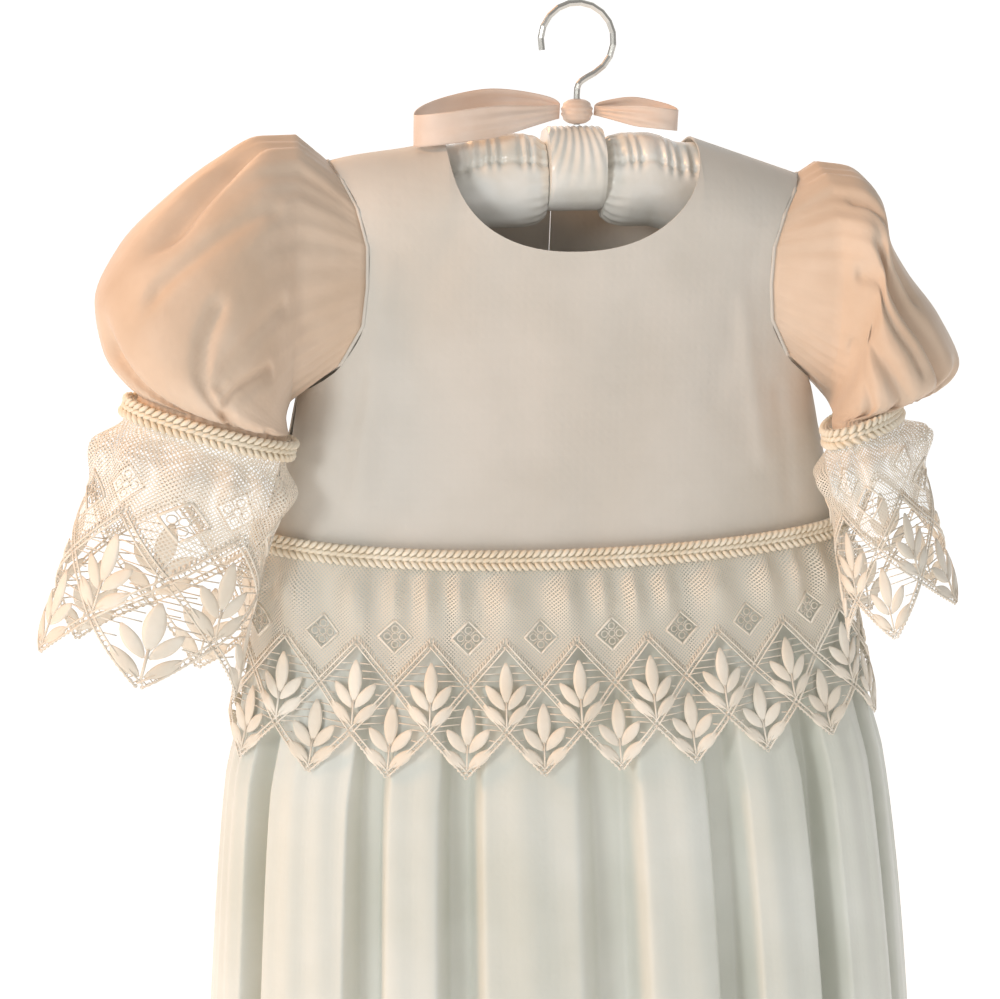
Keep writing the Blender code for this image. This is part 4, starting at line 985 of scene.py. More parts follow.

# %% [markdown]
# ## Sleeves
# Each sleeve is a tube of chiffon gathered into the armhole and into the cuff. The rings of
# the solid's table are run through with a smooth curve, the gathers are finer than the
# solid's, and the main creases are troughs laid from place to place on the cloth.

# %% Sleeve tubes
SLEEVE_CREASES = {
    "left": (
        # along, turn, along, turn, half_width, depth
        (0.18, 20, 0.34, 34, 0.007, 0.0070),
        (0.62, 28, 0.86, 84, 0.0055, 0.0085),
        (0.86, 100, 0.26, 116, 0.0035, 0.0048),
        (0.80, 112, 0.34, 80, 0.0032, 0.0034),
        (0.10, 60, 0.44, 54, 0.0035, 0.0026),
        (0.10, 96, 0.50, 100, 0.0034, 0.0028),
        (0.62, 140, 0.92, 128, 0.004, 0.0024),
        (0.30, 250, 0.75, 300, 0.009, 0.0060),
        (0.55, 220, 0.90, 250, 0.005, 0.0026),
    ),
    "right": (
        (0.22, 62, 0.66, 44, 0.006, 0.0080),
        (0.30, 100, 0.84, 78, 0.006, 0.0060),
        (0.70, 20, 0.80, 60, 0.006, 0.0050),
        (0.08, 44, 0.46, 36, 0.0034, 0.0034),
        (0.10, 84, 0.60, 66, 0.0034, 0.0036),
        (0.12, 120, 0.80, 112, 0.005, 0.0030),
        (0.25, 290, 0.75, 250, 0.009, 0.0060),
    ),
}


def sleeve_piece(side, table, creases, name, cad_node):
    columns = 180
    turn = 2 * math.pi * np.arange(columns) / columns
    loop = armhole_loop(columns)
    rows = [loop]
    last = len(table) - 1
    stations = np.arange(len(table), dtype=float)

    def ring_at(k):
        row = [float(smooth_table(k, stations, table[:, c])) for c in range(7)]
        return sleeve_ring(row, turn)

    first = ring_at(0.0)
    uneven = 0.5 + 0.5 * np.cos(34 * turn + 1.4 * np.sin(3 * turn) + 0.8 * np.sin(5 * turn + 1))
    fine = 0.5 + 0.5 * np.cos(46 * turn + 1.7 * np.sin(4 * turn + 2) + 0.9 * np.sin(7 * turn))
    broad = 0.5 - 0.5 * np.cos(SLEEVE_HEAD_PLEATS * turn)
    upper_part = np.clip(np.cos(turn) + 0.35, 0, 1)
    for k in np.concatenate([np.linspace(-1, 0, 10)[1:-1], np.linspace(0, last, 60)]):
        if k < 0:
            ring = loop + (first - loop) * (1 + k)
            normals = ring_normals(ring)
            inward = (0.0010 * uneven + SLEEVE_HEAD_DEPTH * broad * upper_part) * (1 + k)
        else:
            ring = ring_at(k)
            normals = ring_normals(ring)
            head = smoothstep(1 - k / 2.5) * upper_part
            cuff = smoothstep((k - last + 4) / 3.0) * (0.35 + 0.65 * smoothstep((last - k) / 1.0))
            inward = SLEEVE_HEAD_DEPTH * head * broad + 0.0010 * smoothstep(1 - k / 3.5) * uneven
            inward = inward + 0.0011 * cuff * fine
            if 0 < k < last - 1:
                pressed = fold_depth(creases, k / last, turn, 0.055)
                inward = inward + pressed * smoothstep(k) * smoothstep(last - 1 - k)
        rows.append(ring - normals * inward[:, None])
    points = np.vstack(rows) * [side, 1, 1]
    faces = grid_faces(len(rows), columns, closed=True, flip=side < 0)
    solid, solid_faces = shell(points, faces, 0.0006)
    down = np.repeat(np.linspace(0, SLEEVE_LENGTH, len(rows)), columns)
    uv = np.tile(np.stack([np.tile(turn * 0.05, len(rows)), down], axis=-1), (2, 1))
    piece = mesh_piece(name, in_world(solid), solid_faces, CHIFFON, uv)
    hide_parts(cad_node)
    return piece


def armhole_seam(side, name):
    """The seam allowance that closes the line between sleeve and bodice, as a soft cord."""
    loop = armhole_loop(180) * [side, 1, 1]
    tangent = np.roll(loop, -1, axis=0) - np.roll(loop, 1, axis=0)
    tangent /= np.linalg.norm(tangent, axis=1)[:, None]
    first = np.cross(tangent, [1.0, 0.2, 0.1])
    first /= np.linalg.norm(first, axis=1)[:, None]
    second = np.cross(tangent, first)
    points = []
    for s in range(8):
        turn = 2 * math.pi * s / 8
        points.append(loop + 0.00095 * (first * math.cos(turn) + second * math.sin(turn)))
    faces = []
    for s in range(8):
        for c in range(180):
            n, m = (c + 1) % 180, (s + 1) % 8
            faces.append((s * 180 + c, s * 180 + n, m * 180 + n, m * 180 + c))
    points = np.vstack(points)
    piece = mesh_piece(name, in_world(points), faces, BODICE_SATIN, points[:, [1, 2]], mend=True)
    return piece


sleeve_piece(-1, SLEEVE_LEFT, SLEEVE_CREASES["left"], "sleeve_left_chiffon", "sleeve_left")
sleeve_piece(1, SLEEVE_RIGHT, SLEEVE_CREASES["right"], "sleeve_right_chiffon", "sleeve_right")
armhole_seam(-1, "armhole_seam_left")
armhole_seam(1, "armhole_seam_right")

# %% [markdown]
# ## Guipure lace
# One repeat of the lace is drawn flat: rows of big diamonds edged by a double cord
# with rungs between, five leaves fanned in each, thin bars that tie them together, and a net
# ground above. It is then laid side by side and mapped onto the surface of the solid's lace.

# %% One flat repeat of lace
# The relief's middle and the net lie a little under the solid's face.
LACE_SUNK = 0.0004


def flat_tube(path, radius, lift=0.0, sides=4):
    """A cord along a flat path: points (u, v, height) and faces."""
    path = np.asarray(path, float)
    tangent = np.gradient(path, axis=0)
    tangent /= np.linalg.norm(tangent, axis=1)[:, None]
    points = []
    for p, t in zip(path, tangent):
        for s in range(sides):
            turn = 2 * math.pi * (s + 0.5) / sides
            out, up = radius * math.cos(turn), radius * math.sin(turn)
            points.append((p[0] - t[1] * out, p[1] + t[0] * out, lift + up))
    count = len(path)
    faces = grid_faces(count, sides, closed=True)
    faces.append(list(range(sides)))
    faces.append(list(range((count - 1) * sides, count * sides))[::-1])
    return np.array(points), faces


def flat_leaf(foot, angle, length, width, height):
    """A domed pointed leaf with a vein, from its foot along an angle from straight up."""
    along = np.linspace(0, 1, 8)
    across = np.array((-1.0, -0.55, 0.0, 0.55, 1.0))
    direction = np.array([math.sin(angle), -math.cos(angle)])
    beside = np.array([direction[1], -direction[0]])
    points = []
    for layer in (1.0, -0.35):
        for a in along:
            half = width / 2 * math.sin(math.pi * min(a * 0.94 + 0.03, 1.0)) ** 0.8
            for c in across:
                dome = (1 - c * c) * math.sin(math.pi * (0.06 + 0.88 * a))
                dome -= 0.45 if c == 0 else 0.0
                place = np.array(foot) + direction * (a * length) + beside * (c * half)
                rise = 0.0002 + height * max(dome, 0.08) if layer > 0 else -0.0001
                points.append((place[0], place[1], rise))
    count, wide = len(along), len(across)
    top = grid_faces(count, wide)
    sides = [(f[i], f[(i + 1) % 4]) for f in top for i in range(4)]
    known = set(sides)
    faces = [list(f) for f in top]
    faces += [[count * wide + i for i in reversed(f)] for f in top]
    faces += [[b, a, a + count * wide, b + count * wide] for a, b in sides if (b, a) not in known]
    return np.array(points), faces


def lace_repeat(period):
    """All of one repeat's cords, leaves and bars, flat, as one list of points and faces."""
    quarter = period / 4
    parts = []

    def corner(i, j):
        return np.array([i * quarter, LACE_GROUND + DIAMOND_STEP * j])

    def run(a, b, count=8):
        t = np.linspace(0, 1, count)[:, None]
        return corner(*a) + (corner(*b) - corner(*a)) * t

    for a, b in (
        ((0, 0), (2, 2)), ((2, 2), (4, 0)), ((0, 4), (2, 2)),
        ((2, 2), (4, 4)), ((0, 4), (2, 6)), ((2, 6), (4, 4)),
    ):
        line = run(a, b)
        way = (line[-1] - line[0]) / np.linalg.norm(line[-1] - line[0])
        beside = np.array([-way[1], way[0]])
        for offset in (-0.0010, 0.0010):
            parts.append(flat_tube(line + beside * offset, 0.00048, 0.0004))
        for t in np.linspace(0.06, 0.94, 13):
            middle = line[0] + (line[-1] - line[0]) * t
            rung = [middle - beside * 0.0010, middle + beside * 0.0010]
            parts.append(flat_tube(rung, 0.00030, 0.0002, 3))
    for i, j in ((2, 4), (0, 2)):
        low = corner(i, j + 2)
        for rise, angle, length, width in (
            (0.0032, 47, 0.0135, 0.0054), (0.0032, -47, 0.0135, 0.0054),
            (0.0105, 38, 0.0142, 0.0054), (0.0105, -38, 0.0142, 0.0054),
            (0.0135, 0, 0.0190, 0.0064),
        ):
            foot = low + [math.copysign(0.0007, angle) if angle else 0.0, -rise]
            parts.append(flat_leaf(foot, math.radians(angle), length, width, 0.0012))
        parts.append(flat_tube([low + [0, -0.0008], low + [0, -0.0140]], 0.0005, 0.0003))
        for side in (-1, 1):
            for rise, inner, outer in (
                (0.0055, 0.0010, 0.0046), (0.0165, 0.0095, 0.0144), (0.0215, 0.0095, 0.0168),
                (0.0240, 0.0034, 0.0146), (0.0275, 0.0030, 0.0116), (0.0310, 0.0018, 0.0085),
            ):
                reach = outer * period / 0.036
                bar = [low + [side * inner, -rise], low + [side * reach, -rise + 0.0006]]
                parts.append(flat_tube(bar, 0.00036, 0.0001, 3))
    window = corner(2, 0) + [0, -0.0030]
    size = 0.0080
    ring = [window + [0, -size], window + [size, 0], window + [0, size], window + [-size, 0]]
    for k in range(4):
        line = ring[k] + (ring[(k + 1) % 4] - ring[k]) * np.linspace(0, 1, 5)[:, None]
        parts.append(flat_tube(line, 0.0006, 0.0003))
    for dx, dy in ((0, 0), (1, 0), (-1, 0), (0, 1), (0, -1)):
        turn = np.linspace(0, 2 * math.pi, 9)
        across, down = dx * 0.0037 + 0.0016 * np.cos(turn), dy * 0.0037 + 0.0016 * np.sin(turn)
        parts.append(flat_tube(window + np.stack([across, down], axis=-1), 0.00035, 0.0002, 3))
    for x, y in ((-1, -1), (1, -1), (-1, 1), (1, 1)):
        bar = [window + [x * 0.0012, y * 0.0012], window + [x * 0.0040, y * 0.0040]]
        parts.append(flat_tube(bar, 0.0003, 0.0001, 3))
    for t in np.linspace(0.05, 0.95, 14):
        chevron = corner(0, 0) + (corner(2, 2) - corner(0, 0)) * t
        other = corner(4, 0) + (corner(2, 2) - corner(4, 0)) * t
        for place in (chevron, other):
            parts.append(flat_tube([place + [0, -0.0012], place + [0, -0.0042]], 0.0004, 0.0002, 3))
    points, faces, count = [], [], 0
    for p, f in parts:
        points.append(p)
        faces += [[i + count for i in face] for face in f]
        count += len(p)
    return np.vstack(points), faces, window, size


def tiled(unit, faces, repeats, period):
    """The unit repeated side by side."""
    points = np.vstack([unit + [r * period, 0, 0] for r in range(repeats)])
    many = [[i + r * len(unit) for i in f] for r in range(repeats) for f in faces]
    return points, many


def net_grid(repeats, period, window, size):
    """The flat net ground above the leaves, as small quads with the windows left open."""
    columns, rows = 28, 36
    u = np.linspace(0, repeats * period, repeats * columns + 1)
    local = np.abs((u / period) % 1 - 0.5)
    edge = LACE_GROUND + DIAMOND_STEP * (1 - 2 * local) * 2
    share = np.linspace(0, 1, rows + 1)[:, None]
    points = np.stack([np.tile(u, (rows + 1, 1)), share * edge[None, :]], axis=-1).reshape(-1, 2)
    faces = []
    for face in grid_faces(rows + 1, len(u)):
        middle = points[list(face)].mean(axis=0)
        off = abs((middle[0] % period) - window[0]) + abs(middle[1] - window[1])
        if off > size:
            faces.append(face)
    return points, faces


def lace_pieces(name, surface, inside, repeats, period, length, first_share, cad_node):
    """Relief and net of one piece of lace, laid on a surface of (share, down)."""
    unit, unit_faces, window, size = lace_repeat(period)
    flat, faces = tiled(unit, unit_faces, repeats, period)
    share, down, rise = flat[:, 0] / length + first_share, flat[:, 1], flat[:, 2]
    outer = surface(share, down)
    normals = outward_normals(surface, share, down, inside(share, down, outer))
    raised = in_world(outer + normals * (rise - LACE_SUNK)[:, None])
    relief = mesh_piece(f"{name}_relief", raised, faces, LACE_THREAD, flat[:, :2], mend=True)
    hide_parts(cad_node)
    flat, faces = net_grid(repeats, period, window, size)
    share, down = flat[:, 0] / length + first_share, flat[:, 1]
    outer = surface(share, down)
    normals = outward_normals(surface, share, down, inside(share, down, outer))
    net_points = outer - normals * LACE_SUNK
    net = mesh_piece(f"{name}_net", in_world(net_points), faces, LACE_NET, flat)
    line = np.arange(0, repeats * period, 0.0016)
    local = (line / period) % 1
    low = LACE_GROUND + DIAMOND_STEP * (6 - 4 * np.abs(local - 0.5))
    share = line / length + first_share
    places = surface(share, low + 0.0013)
    normals = outward_normals(surface, share, low, inside(share, low, places))
    ways = surface(share + 0.002, low) - surface(share - 0.002, low)
    loop = ring_item("picot_loop", 0.0008, 0.00028, around=8, sides=3)
    turns = euler_from_axes(ways, normals)
    edge = in_world(places - normals * LACE_SUNK)
    picots = repeat_on_points(f"{name}_picots", edge, turns, loop, LACE_THREAD)
    bpy.data.objects.remove(loop)
    print(name, "relief faces", len(relief.data.polygons), "net faces", len(faces))


# %% Peplum
def fine_peplum(share, down):
    """The peplum's surface with the finer gathers under the braid."""
    shares, angles = PEPLUM_ARC
    theta = np.interp(share % 1, shares, angles) + 2 * math.pi * np.floor(share)
    stand_off, ruffle = (smooth_table(down, PEPLUM[:, 0], PEPLUM[:, k]) for k in (1, 2))
    wave = 0.5 + 0.5 * np.cos(4 * math.pi * PEPLUM_REPEATS * share)
    near = np.exp(-(((down - 0.018) / 0.012) ** 2))
    drift = 1.8 * np.sin(2 * math.pi * 7 * share)
    gathers = (0.5 + 0.5 * np.cos(2 * math.pi * 34 * share + drift)) ** 1.2
    stretch = 1 - PEPLUM_SIDE_STRETCH * np.sin(theta)
    stand = LACE_WALL + stand_off + ruffle * wave + 0.0062 * near * gathers
    return skirt_surface(theta, down * stretch + 0.0008, stand)


def peplum_inside(share, down, outer):
    return outer * [0.5, 0, 1]


for half, side in enumerate(("front", "back")):
    lace_pieces(f"peplum_{side}", fine_peplum, peplum_inside, PEPLUM_REPEATS,
                PEPLUM_LENGTH / (2 * PEPLUM_REPEATS), PEPLUM_LENGTH, half / 2,
                f"peplum_lace_{side}")

# %% Cuffs
for side, label, table in ((-1, "left", SLEEVE_LEFT), (1, "right", SLEEVE_RIGHT)):
    ring_row = table[-2]
    total = sum(CUFF_REPEATS)

    def cuff(share, down, side=side, label=label, row=ring_row):
        stand_out = smooth_table(down, CUFF[:, 0], CUFF[:, 1])
        wave = 0.5 + 0.5 * np.cos(2 * math.pi * share * total)
        ruffle = CUFF_RUFFLE * smoothstep((down - BRAID_HEIGHT) / 0.02) * wave
        puff = 1 + CUFF_OUTER_PUFF[label] * np.clip(np.cos(2 * math.pi * share), 0, 1)
        near = np.exp(-(((down - 0.021) / 0.010) ** 2))
        gathers = 0.5 + 0.5 * np.cos(2 * math.pi * 14 * share + 1.5 * np.sin(6 * math.pi * share))
        stand = LACE_WALL + stand_out * puff + ruffle + 0.0036 * near * gathers
        return cuff_surface(row, CUFF_HANG[label], side, share, down * CUFF_STRETCH[label], stand)

    def cuff_inside(share, down, outer, cuff=cuff):
        return (outer + cuff(share + 0.5, down)) / 2

    first = 0
    for repeats, half in zip(CUFF_REPEATS, ("front", "back")):
        lace_pieces(f"cuff_{label}_{half}", cuff, cuff_inside, repeats, CUFF_FLAT_LENGTH / total,
                    CUFF_FLAT_LENGTH, first / total - 0.05, f"cuff_{label}_lace_{half}")
        first += repeats

# %% [markdown]
# ## Gimp braid
# The gimp is a flat cord with three rows of plump stitches. A thin band carries them, and one
# small bead of thread is repeated along each row.

# %% Braid bands with repeated stitches
def braid_pieces(name, upper, lower, outward, closed, cad_node):
    """Base band, two rows of slanting stitches and a middle cord."""
    count = len(upper)
    profile = (
        (0.02, 0.0), (0.1, 0.45), (0.3, 0.6), (0.5, 0.5), (0.7, 0.6), (0.9, 0.45), (0.98, 0.0),
    )
    rows = [upper + (lower - upper) * down + outward * (BRAID_DEPTH * out) for down, out in profile]
    faces = grid_faces(len(profile), count, closed=closed, flip=True)
    last = (len(profile) - 1) * count
    faces += [
        (c, (c + 1) % count, last + (c + 1) % count, last + c)
        for c in range(count if closed else count - 1)
    ]
    if not closed:
        faces.append(tuple(r * count for r in reversed(range(len(profile)))))
        faces.append(tuple(r * count + count - 1 for r in range(len(profile))))
    points = np.vstack(rows)
    uv = np.stack([
        np.tile(np.arange(count) * 0.002, len(profile)),
        np.repeat(np.arange(len(profile)) * 0.002, count),
    ], axis=-1)
    band = mesh_piece(f"{name}_band", in_world(points), faces, GIMP_THREAD, uv, mend=True)
    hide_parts(cad_node)
    steps = np.linalg.norm(np.diff(upper, axis=0), axis=1)
    at = np.concatenate([[0], np.cumsum(steps)])
    where = np.arange(0.001, at[-1] - 0.0005, 0.0034)
    places, x_axes, z_axes = [], [], []
    for down, lean in ((0.17, 0.9), (0.83, -0.9), (0.5, 0.35)):
        lift_out = BRAID_DEPTH * (0.80 if down != 0.5 else 0.62)
        line = upper + (lower - upper) * down + outward * lift_out
        shifted = where + (0.001 if down > 0.5 else 0.0)
        shifted = shifted[shifted < at[-1] - 0.0006]
        spot = np.stack([np.interp(shifted, at, line[:, k]) for k in range(3)], axis=-1)
        ahead = np.stack([
            np.interp(shifted + 0.0008, at, line[:, k]) for k in range(3)
        ], axis=-1) - spot
        ahead /= np.maximum(np.linalg.norm(ahead, axis=1), 1e-9)[:, None]
        out = np.stack([np.interp(shifted, at, outward[:, k]) for k in range(3)], axis=-1)
        aside = np.cross(out, ahead)
        places.append(spot)
        x_axes.append(ahead + aside * lean)
        z_axes.append(out)
    stitch = bead("stitch", 0.0056, 0.0026, 0.0034)
    turns = euler_from_axes(np.vstack(x_axes), np.vstack(z_axes))
    spots = in_world(np.vstack(places))
    stitches = repeat_on_points(f"{name}_stitches", spots, turns, stitch, GIMP_THREAD)
    bpy.data.objects.remove(stitch)


for label, start, end in (("front", -90, 90), ("back", 90, 270)):
    theta = np.radians(np.linspace(start, end, 241))
    upper = skirt_surface(theta, 0.0, BRAID_UPPER_STAND)
    upper[:, 2] += BRAID_ABOVE_WAIST
    lower = skirt_surface(theta, BRAID_HEIGHT - BRAID_ABOVE_WAIST, BRAID_LOWER_STAND)
    nx, ny = oval_normal(theta, WAIST_HALF_WIDTH, WAIST_HALF_DEPTH)
    outward = np.stack([nx, ny, 0 * nx], axis=-1)
    outward[[0, -1], 1] = 0
    for edge in (upper, lower):
        edge[[0, -1], 1] = math.copysign(HALF_SEAM, edge[120, 1])
    braid_pieces(f"waist_gimp_{label}", upper, lower, outward, False, f"waist_braid_{label}")

for side, label, table in ((-1, "left", SLEEVE_LEFT), (1, "right", SLEEVE_RIGHT)):
    count = 120
    share = np.arange(count) / count * side * -1
    edges = []
    for down in (0.0, BRAID_HEIGHT):
        stand = LACE_WALL + float(smooth_table(down, CUFF[:, 0], CUFF[:, 1])) + CUFF_BRAID_STAND
        stand = stand + 0.0014 * CUFF_OUTER_PUFF[label] * np.clip(np.cos(2 * math.pi * share), 0, 1)
        edges.append(cuff_surface(
            table[-2], CUFF_HANG[label], side, share, np.full(count, down), stand,
        ))
    braid_pieces(
        f"cuff_gimp_{label}", edges[0], edges[1], ring_normals(edges[0]), True,
        f"cuff_{label}_braid",
    )

# %% [markdown]
# ## Padded hanger
# Each arm is wadding in shiny satin, ruched above a seam on its front: small gathers fan up
# from that seam, and the cloth below it is a smooth puff.
# The middle is a plain band wrapped round the wood, pulled
# towards the knot of the bow.

# %% Padded arms
def arm_piece(name, side, cad_node):
    shares = (0.0, 0.05, 0.14, 0.30, 0.42, 0.52, 0.70, 0.86, 0.95, 1.0)
    fullness = (0.80, 0.94, 1.0, 1.0, 1.0, 1.0, 1.0, 0.93, 0.72, 0.36)
    start = (max(side * end for end in BAR_ENDS) if side > 0 else -BAR_ENDS[0]) + SEAM_GAP
    reach = ARM_REACH + side * GOWN_SHIFT_X
    count = 128
    turn = 2 * math.pi * np.arange(count) / count
    seam = math.radians(62)
    rows = []
    stations = np.linspace(0, 1, 150)
    for share in stations:
        full = float(smooth_table(share, np.array(shares), np.array(fullness)))
        x = start + (reach - start) * share
        centre = float(arm_top(x - side * GOWN_SHIFT_X)) - ARM_HALF_HEIGHT
        phase = 2 * math.pi * x / 0.0062 + 1.4 * math.sin(2 * math.pi * x / 0.023)
        phase += 0.7 * math.sin(2 * math.pi * x / 0.0137)
        from_seam = np.abs((turn - (2 * math.pi - seam) + math.pi) % (2 * math.pi) - math.pi)
        above = (turn > 2 * math.pi - seam) | (turn < 1.2)
        spread = np.where(above, 0.75, 0.16)
        ruche = np.exp(-((from_seam / spread) ** 2)) * (0.5 + 0.5 * np.cos(phase + 1.1 * from_seam))
        pull = 0.0014 * np.exp(-((from_seam / 0.07) ** 2))
        near_end = 0.0007 * math.exp(-((share / 0.10) ** 2))
        end_pull = near_end * (0.5 + 0.5 * np.cos(22 * turn + np.sin(3 * turn)))
        inward = 0.0021 * ruche + pull + end_pull
        y = (ARM_HALF_DEPTH * full - inward) * np.sin(turn)
        heights = centre + (ARM_HALF_HEIGHT * full - inward) * np.cos(turn)
        rows.append(np.stack([np.full(count, side * x), y, heights], axis=-1))
    points = np.vstack(rows)
    points[:, 2] += shoulder_lift(points - [GOWN_SHIFT_X, 0, 0])
    faces = grid_faces(len(stations), count, closed=True)
    ends = [
        [side * start, 0, points[:count, 2].mean()], [side * reach, 0, points[-count:, 2].mean()],
    ]
    base = len(points)
    points = np.vstack([points, ends])
    faces += [(i, (i + 1) % count, base) for i in range(count)]
    faces += [(base - count + (i + 1) % count, base - count + i, base + 1) for i in range(count)]
    uv = np.stack([points[:, 0], points[:, 2]], axis=-1)
    piece = mesh_piece(name, in_world(points, gown=False), faces, HANGER_SATIN, uv, mend=True)
    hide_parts(cad_node)
    print(name, len(faces), "faces")
    return piece


arm_piece("hanger_arm_left_ruched", -1, "hanger_arm_left")
arm_piece("hanger_arm_right_ruched", 1, "hanger_arm_right")

# %% Wrapped middle
count = 160
turn = 2 * math.pi * np.arange(count) / count
rows = []
stations = np.linspace(0, 1, 60)
for share in stations:
    x = BAR_ENDS[0] + (BAR_ENDS[1] - BAR_ENDS[0]) * share
    up = np.clip(np.cos(turn), -1, 1)
    fan = x / (0.35 + 0.65 * (1 - up) / 2)
    fold = 0.5 + 0.5 * np.cos(2 * math.pi * fan / 0.0085 + 0.8 * np.sin(2 * turn))
    edge = math.exp(-((share / 0.05) ** 2)) + math.exp(-(((1 - share) / 0.05) ** 2))
    inward = 0.0007 * fold * smoothstep((up + 0.6) / 1.2) + 0.0006 * edge
    radius = BAR_RADIUS - inward
    rows.append(np.stack([
        np.full(count, x), radius * np.sin(turn),
        BAR_TOP_H - BAR_RADIUS + radius * np.cos(turn),
    ], axis=-1))
points = np.vstack(rows)
faces = grid_faces(len(stations), count, closed=True)
faces += [tuple(range(count)), tuple(range(len(points) - count, len(points)))]
bar = mesh_piece(
    "hanger_middle_wrap", in_world(points, gown=False), faces, HANGER_SATIN, points[:, :2],
    sharp=50, mend=True,
)
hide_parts("hanger_bar")

# %% [markdown]
# ## Bow, hook and buttons
# The bow is organza ribbon: a drawn knot round the foot of the hook and two loops on edge. The
# hook's wire keeps its solid and gets a steel finish. The buttons are moulded pearls.

# %% Bow
def loop_piece(name, reach, band, front, back, knot_h, far_h, back_lift, cad_node):
    count = 120
    side = math.copysign(1, reach)
    near = side * (KNOT_OUTER_RADIUS + SEAM_GAP + RIBBON_WALL * 0.2)
    turn = 2 * math.pi * np.arange(count) / count
    along = (1 - np.cos(turn)) / 2
    rows = []
    edges = np.linspace(-1, 1, 17)
    for edge in edges:
        bulge = np.where(np.sin(turn) > 0, front, back)
        x = near + (reach - near) * along
        pleat = 0.0009 * (1 - along) ** 1.5 * np.cos(edge * 9 + 0.6 * np.sin(turn))
        pleat = pleat + 0.0004 * np.cos(edge * 4 + along * 7)
        y = -bulge * np.sin(turn) * (0.35 + 0.65 * along**0.6)
        lift = back_lift * np.clip(-np.sin(turn), 0, None)
        height = band * (0.45 + 0.55 * smoothstep(along * 1.8))
        h = knot_h + (far_h - knot_h) * along + lift
        swell = pleat * np.sign(np.sin(turn) + 1e-6) * np.abs(np.sin(turn))
        deep = y - 0.001 * edge - LOOP_LEAN * along + swell
        rows.append(np.stack([x, deep, h + height / 2 * edge], axis=-1))
    points = np.vstack(rows)
    faces = [f[::-1] for f in grid_faces(len(edges), count, closed=True, flip=side > 0)]
    solid, solid_faces = shell(points, faces, 0.0005)
    one_face = np.stack([
        np.tile(along * abs(reach), len(edges)), np.repeat(edges * band / 2, count),
    ], axis=-1)
    uv = np.tile(one_face, (2, 1))
    piece = mesh_piece(name, in_world(solid, gown=False), solid_faces, ORGANZA, uv, mend=True)
    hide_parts(cad_node)
    return piece


rings = np.linspace(-1, 1, 25)
count = 96
turn = 2 * math.pi * np.arange(count) / count
hole = WIRE_RADIUS + SEAM_GAP
rows = []
for up in rings:
    out = math.sqrt(max(1 - abs(up) ** 2.2, 0.0))
    fold = 0.0005 * (0.5 + 0.5 * np.cos(up * 14 + 1.2 * np.sin(turn))) * out
    radius = hole + (KNOT_OUTER_RADIUS - hole) * out - fold
    rows.append(np.stack([
        radius * np.cos(turn), radius * np.sin(turn),
        np.full(count, KNOT_H + KNOT_HALF_HEIGHT * up),
    ], axis=-1))
points = np.vstack(rows)
faces = grid_faces(len(rings), count, closed=True, flip=True)
last = (len(rings) - 1) * count
faces += [((i + 1) % count, last + (i + 1) % count, last + i, i) for i in range(count)]
knot = mesh_piece(
    "bow_knot_ribbon", in_world(points, gown=False), faces, ORGANZA, points[:, [0, 2]],
    mend=True,
)
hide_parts("bow_knot")
for label, sizes in LOOPS.items():
    loop_piece(label + "_organza", *sizes, label)

# %% Buttons
for k, h in enumerate(BUTTON_HEIGHTS):
    y = float(bodice_depth(BUTTON_X, h)) + 2 * SEAM_GAP
    rings = np.linspace(0, 1, 14)
    count = 40
    turn = 2 * math.pi * np.arange(count) / count
    rows = []
    for r in rings:
        out = BUTTON_RADIUS * (0.55 + 0.45 * math.sin(math.pi * min(r * 1.6, 0.5)))
        out *= math.sqrt(max(1 - max(r - 0.3, 0) ** 2 / 0.5, 0.02))
        rows.append(np.stack([
            BUTTON_X + out * np.cos(turn), np.full(count, y + BUTTON_DEPTH * r),
            h + out * np.sin(turn),
        ], axis=-1))
    points = np.vstack(rows)
    faces = grid_faces(len(rings), count, closed=True)
    faces += [tuple(range(count)), tuple(range(len(points) - count, len(points)))]
    button = mesh_piece(
        f"pearl_button_{k + 1}", in_world(points), faces, PEARL, mend=True, sharp=60,
    )
    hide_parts(f"back_button_{k + 1}")

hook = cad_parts["hook"]
hook = bpy.data.objects[hook] if isinstance(hook, str) else hook
for k in range(len(hook.data.materials)):
    hook.data.materials[k] = STEEL
for place in hook.material_slots:
    place.material = STEEL
print("hook:", hook.name, len(hook.material_slots), "material slot")

# %% [markdown]
# ## Floor, light and camera
# The gown hangs over a plain pale floor of studio paper, which curves up behind it and glows a
# little, so that it comes out as white as the photograph's ground.
# A large soft lamp from the upper left is a little
# warm, as in the photograph, and a pale world fills the shadows. The camera stands where the
# photograph was taken: a little to the left and above, with a long lens.

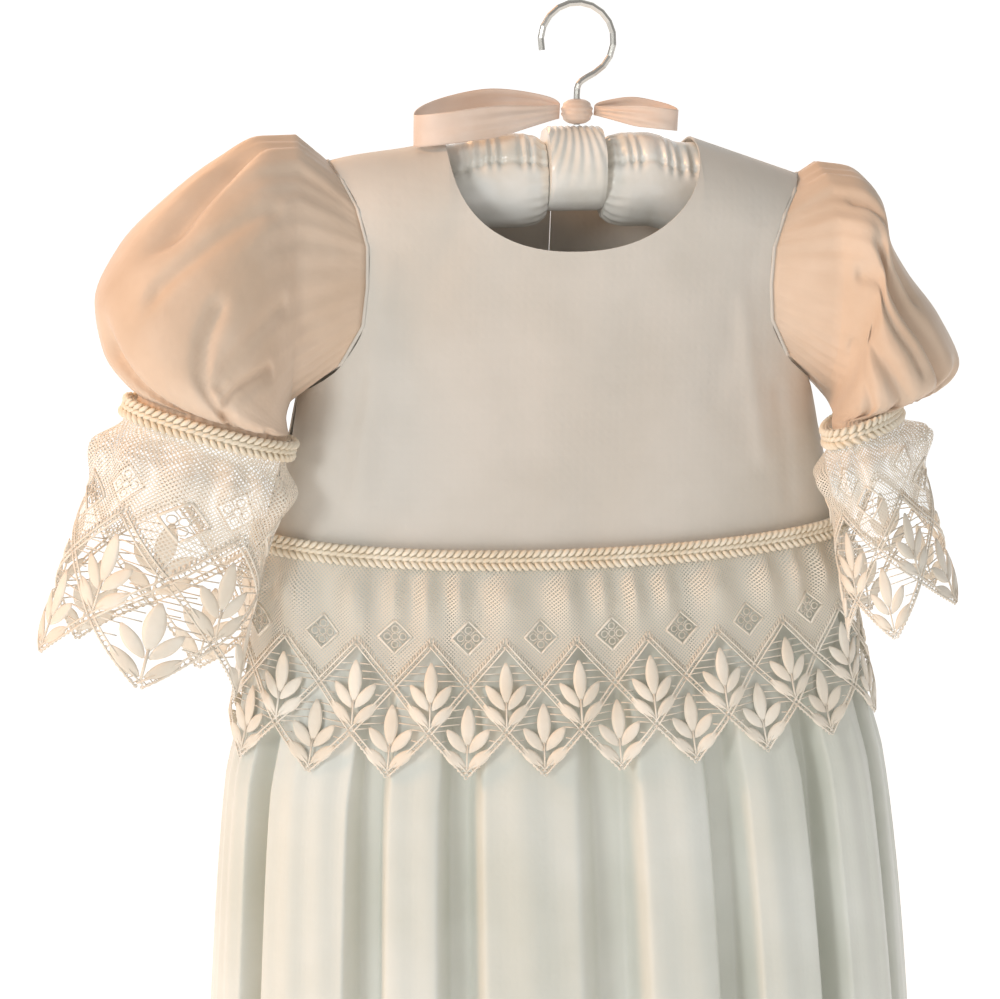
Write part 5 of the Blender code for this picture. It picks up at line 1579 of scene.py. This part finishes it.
# %% Stage
FLOOR_BACK, FLOOR_RISE, FLOOR_DOWN = 3.0, 2.5, -0.96
profile = [(-6.0, FLOOR_DOWN)]
for k in range(33):
    turned = math.radians(90 * k / 32)
    profile.append((
        FLOOR_BACK + FLOOR_RISE * math.sin(turned),
        FLOOR_DOWN + FLOOR_RISE * (1 - math.cos(turned)),
    ))
profile.append((FLOOR_BACK + FLOOR_RISE, 5.0))
floor_mesh = bpy.data.meshes.new("floor")
floor_mesh.from_pydata(
    [(x, y, z) for y, z in profile for x in (-6, 6)], [],
    [(2 * k, 2 * k + 1, 2 * k + 3, 2 * k + 2) for k in range(len(profile) - 1)],
)
for face in floor_mesh.polygons:
    face.use_smooth = True
floor = bpy.data.objects.new("floor", floor_mesh)
bpy.context.scene.collection.objects.link(floor)
FLOOR, _, _ = finish_of(
    "matt_pale_paper", Base_Color=linear("#f6f6f5"), Roughness=0.9,
    Emission_Color=linear("#ffffff"), Emission_Strength=0.56,
)
floor_mesh.materials.append(FLOOR)

world = bpy.data.worlds.new("pale_studio")
bpy.context.scene.world = world
world.use_nodes = True
world.node_tree.nodes["Background"].inputs["Color"].default_value = (0.96, 0.96, 0.95, 1)
world.node_tree.nodes["Background"].inputs["Strength"].default_value = 0.46
bpy.context.scene.view_settings.view_transform = "Standard"


def soft_lamp(name, place, aim, size, watts, colour):
    data = bpy.data.lights.new(name, "AREA")
    data.shape = "DISK"
    data.size = size
    data.energy = watts
    data.color = linear(colour)[:3]
    lamp = bpy.data.objects.new(name, data)
    lamp.location = place
    lamp.rotation_mode = "QUATERNION"
    lamp.rotation_quaternion = (Vector(aim) - Vector(place)).to_track_quat("-Z", "Y")
    bpy.context.scene.collection.objects.link(lamp)


soft_lamp("warm_key", (-1.5, -0.35, 0.75), (-0.1, 0, -0.2), 0.45, 13, "#ffbd80")
soft_lamp("cool_front", (-1.5, -1.5, 0.3), (0, 0, -0.45), 0.5, 12, "#f6f9f8")
soft_lamp("rim", (-0.6, 1.3, 0.7), (0, 0, -0.2), 0.8, 8, "#ffb870")

# %% Camera
data = bpy.data.cameras.new("camera")
data.sensor_width = 36
data.lens = 36 * 2336 / 1000
camera = bpy.data.objects.new("camera", data)
azimuth, elevation = math.radians(-9.0632), math.radians(11.7636)
back = Vector((
    math.sin(azimuth) * math.cos(elevation),
    -math.cos(azimuth) * math.cos(elevation),
    math.sin(elevation),
))
camera.location = Vector((-0.0372, 0.0, -0.2378)) + back * 1.15
camera.rotation_mode = "QUATERNION"
camera.rotation_quaternion = (-back).to_track_quat("-Z", "Y")
bpy.context.scene.collection.objects.link(camera)
bpy.context.scene.camera = camera
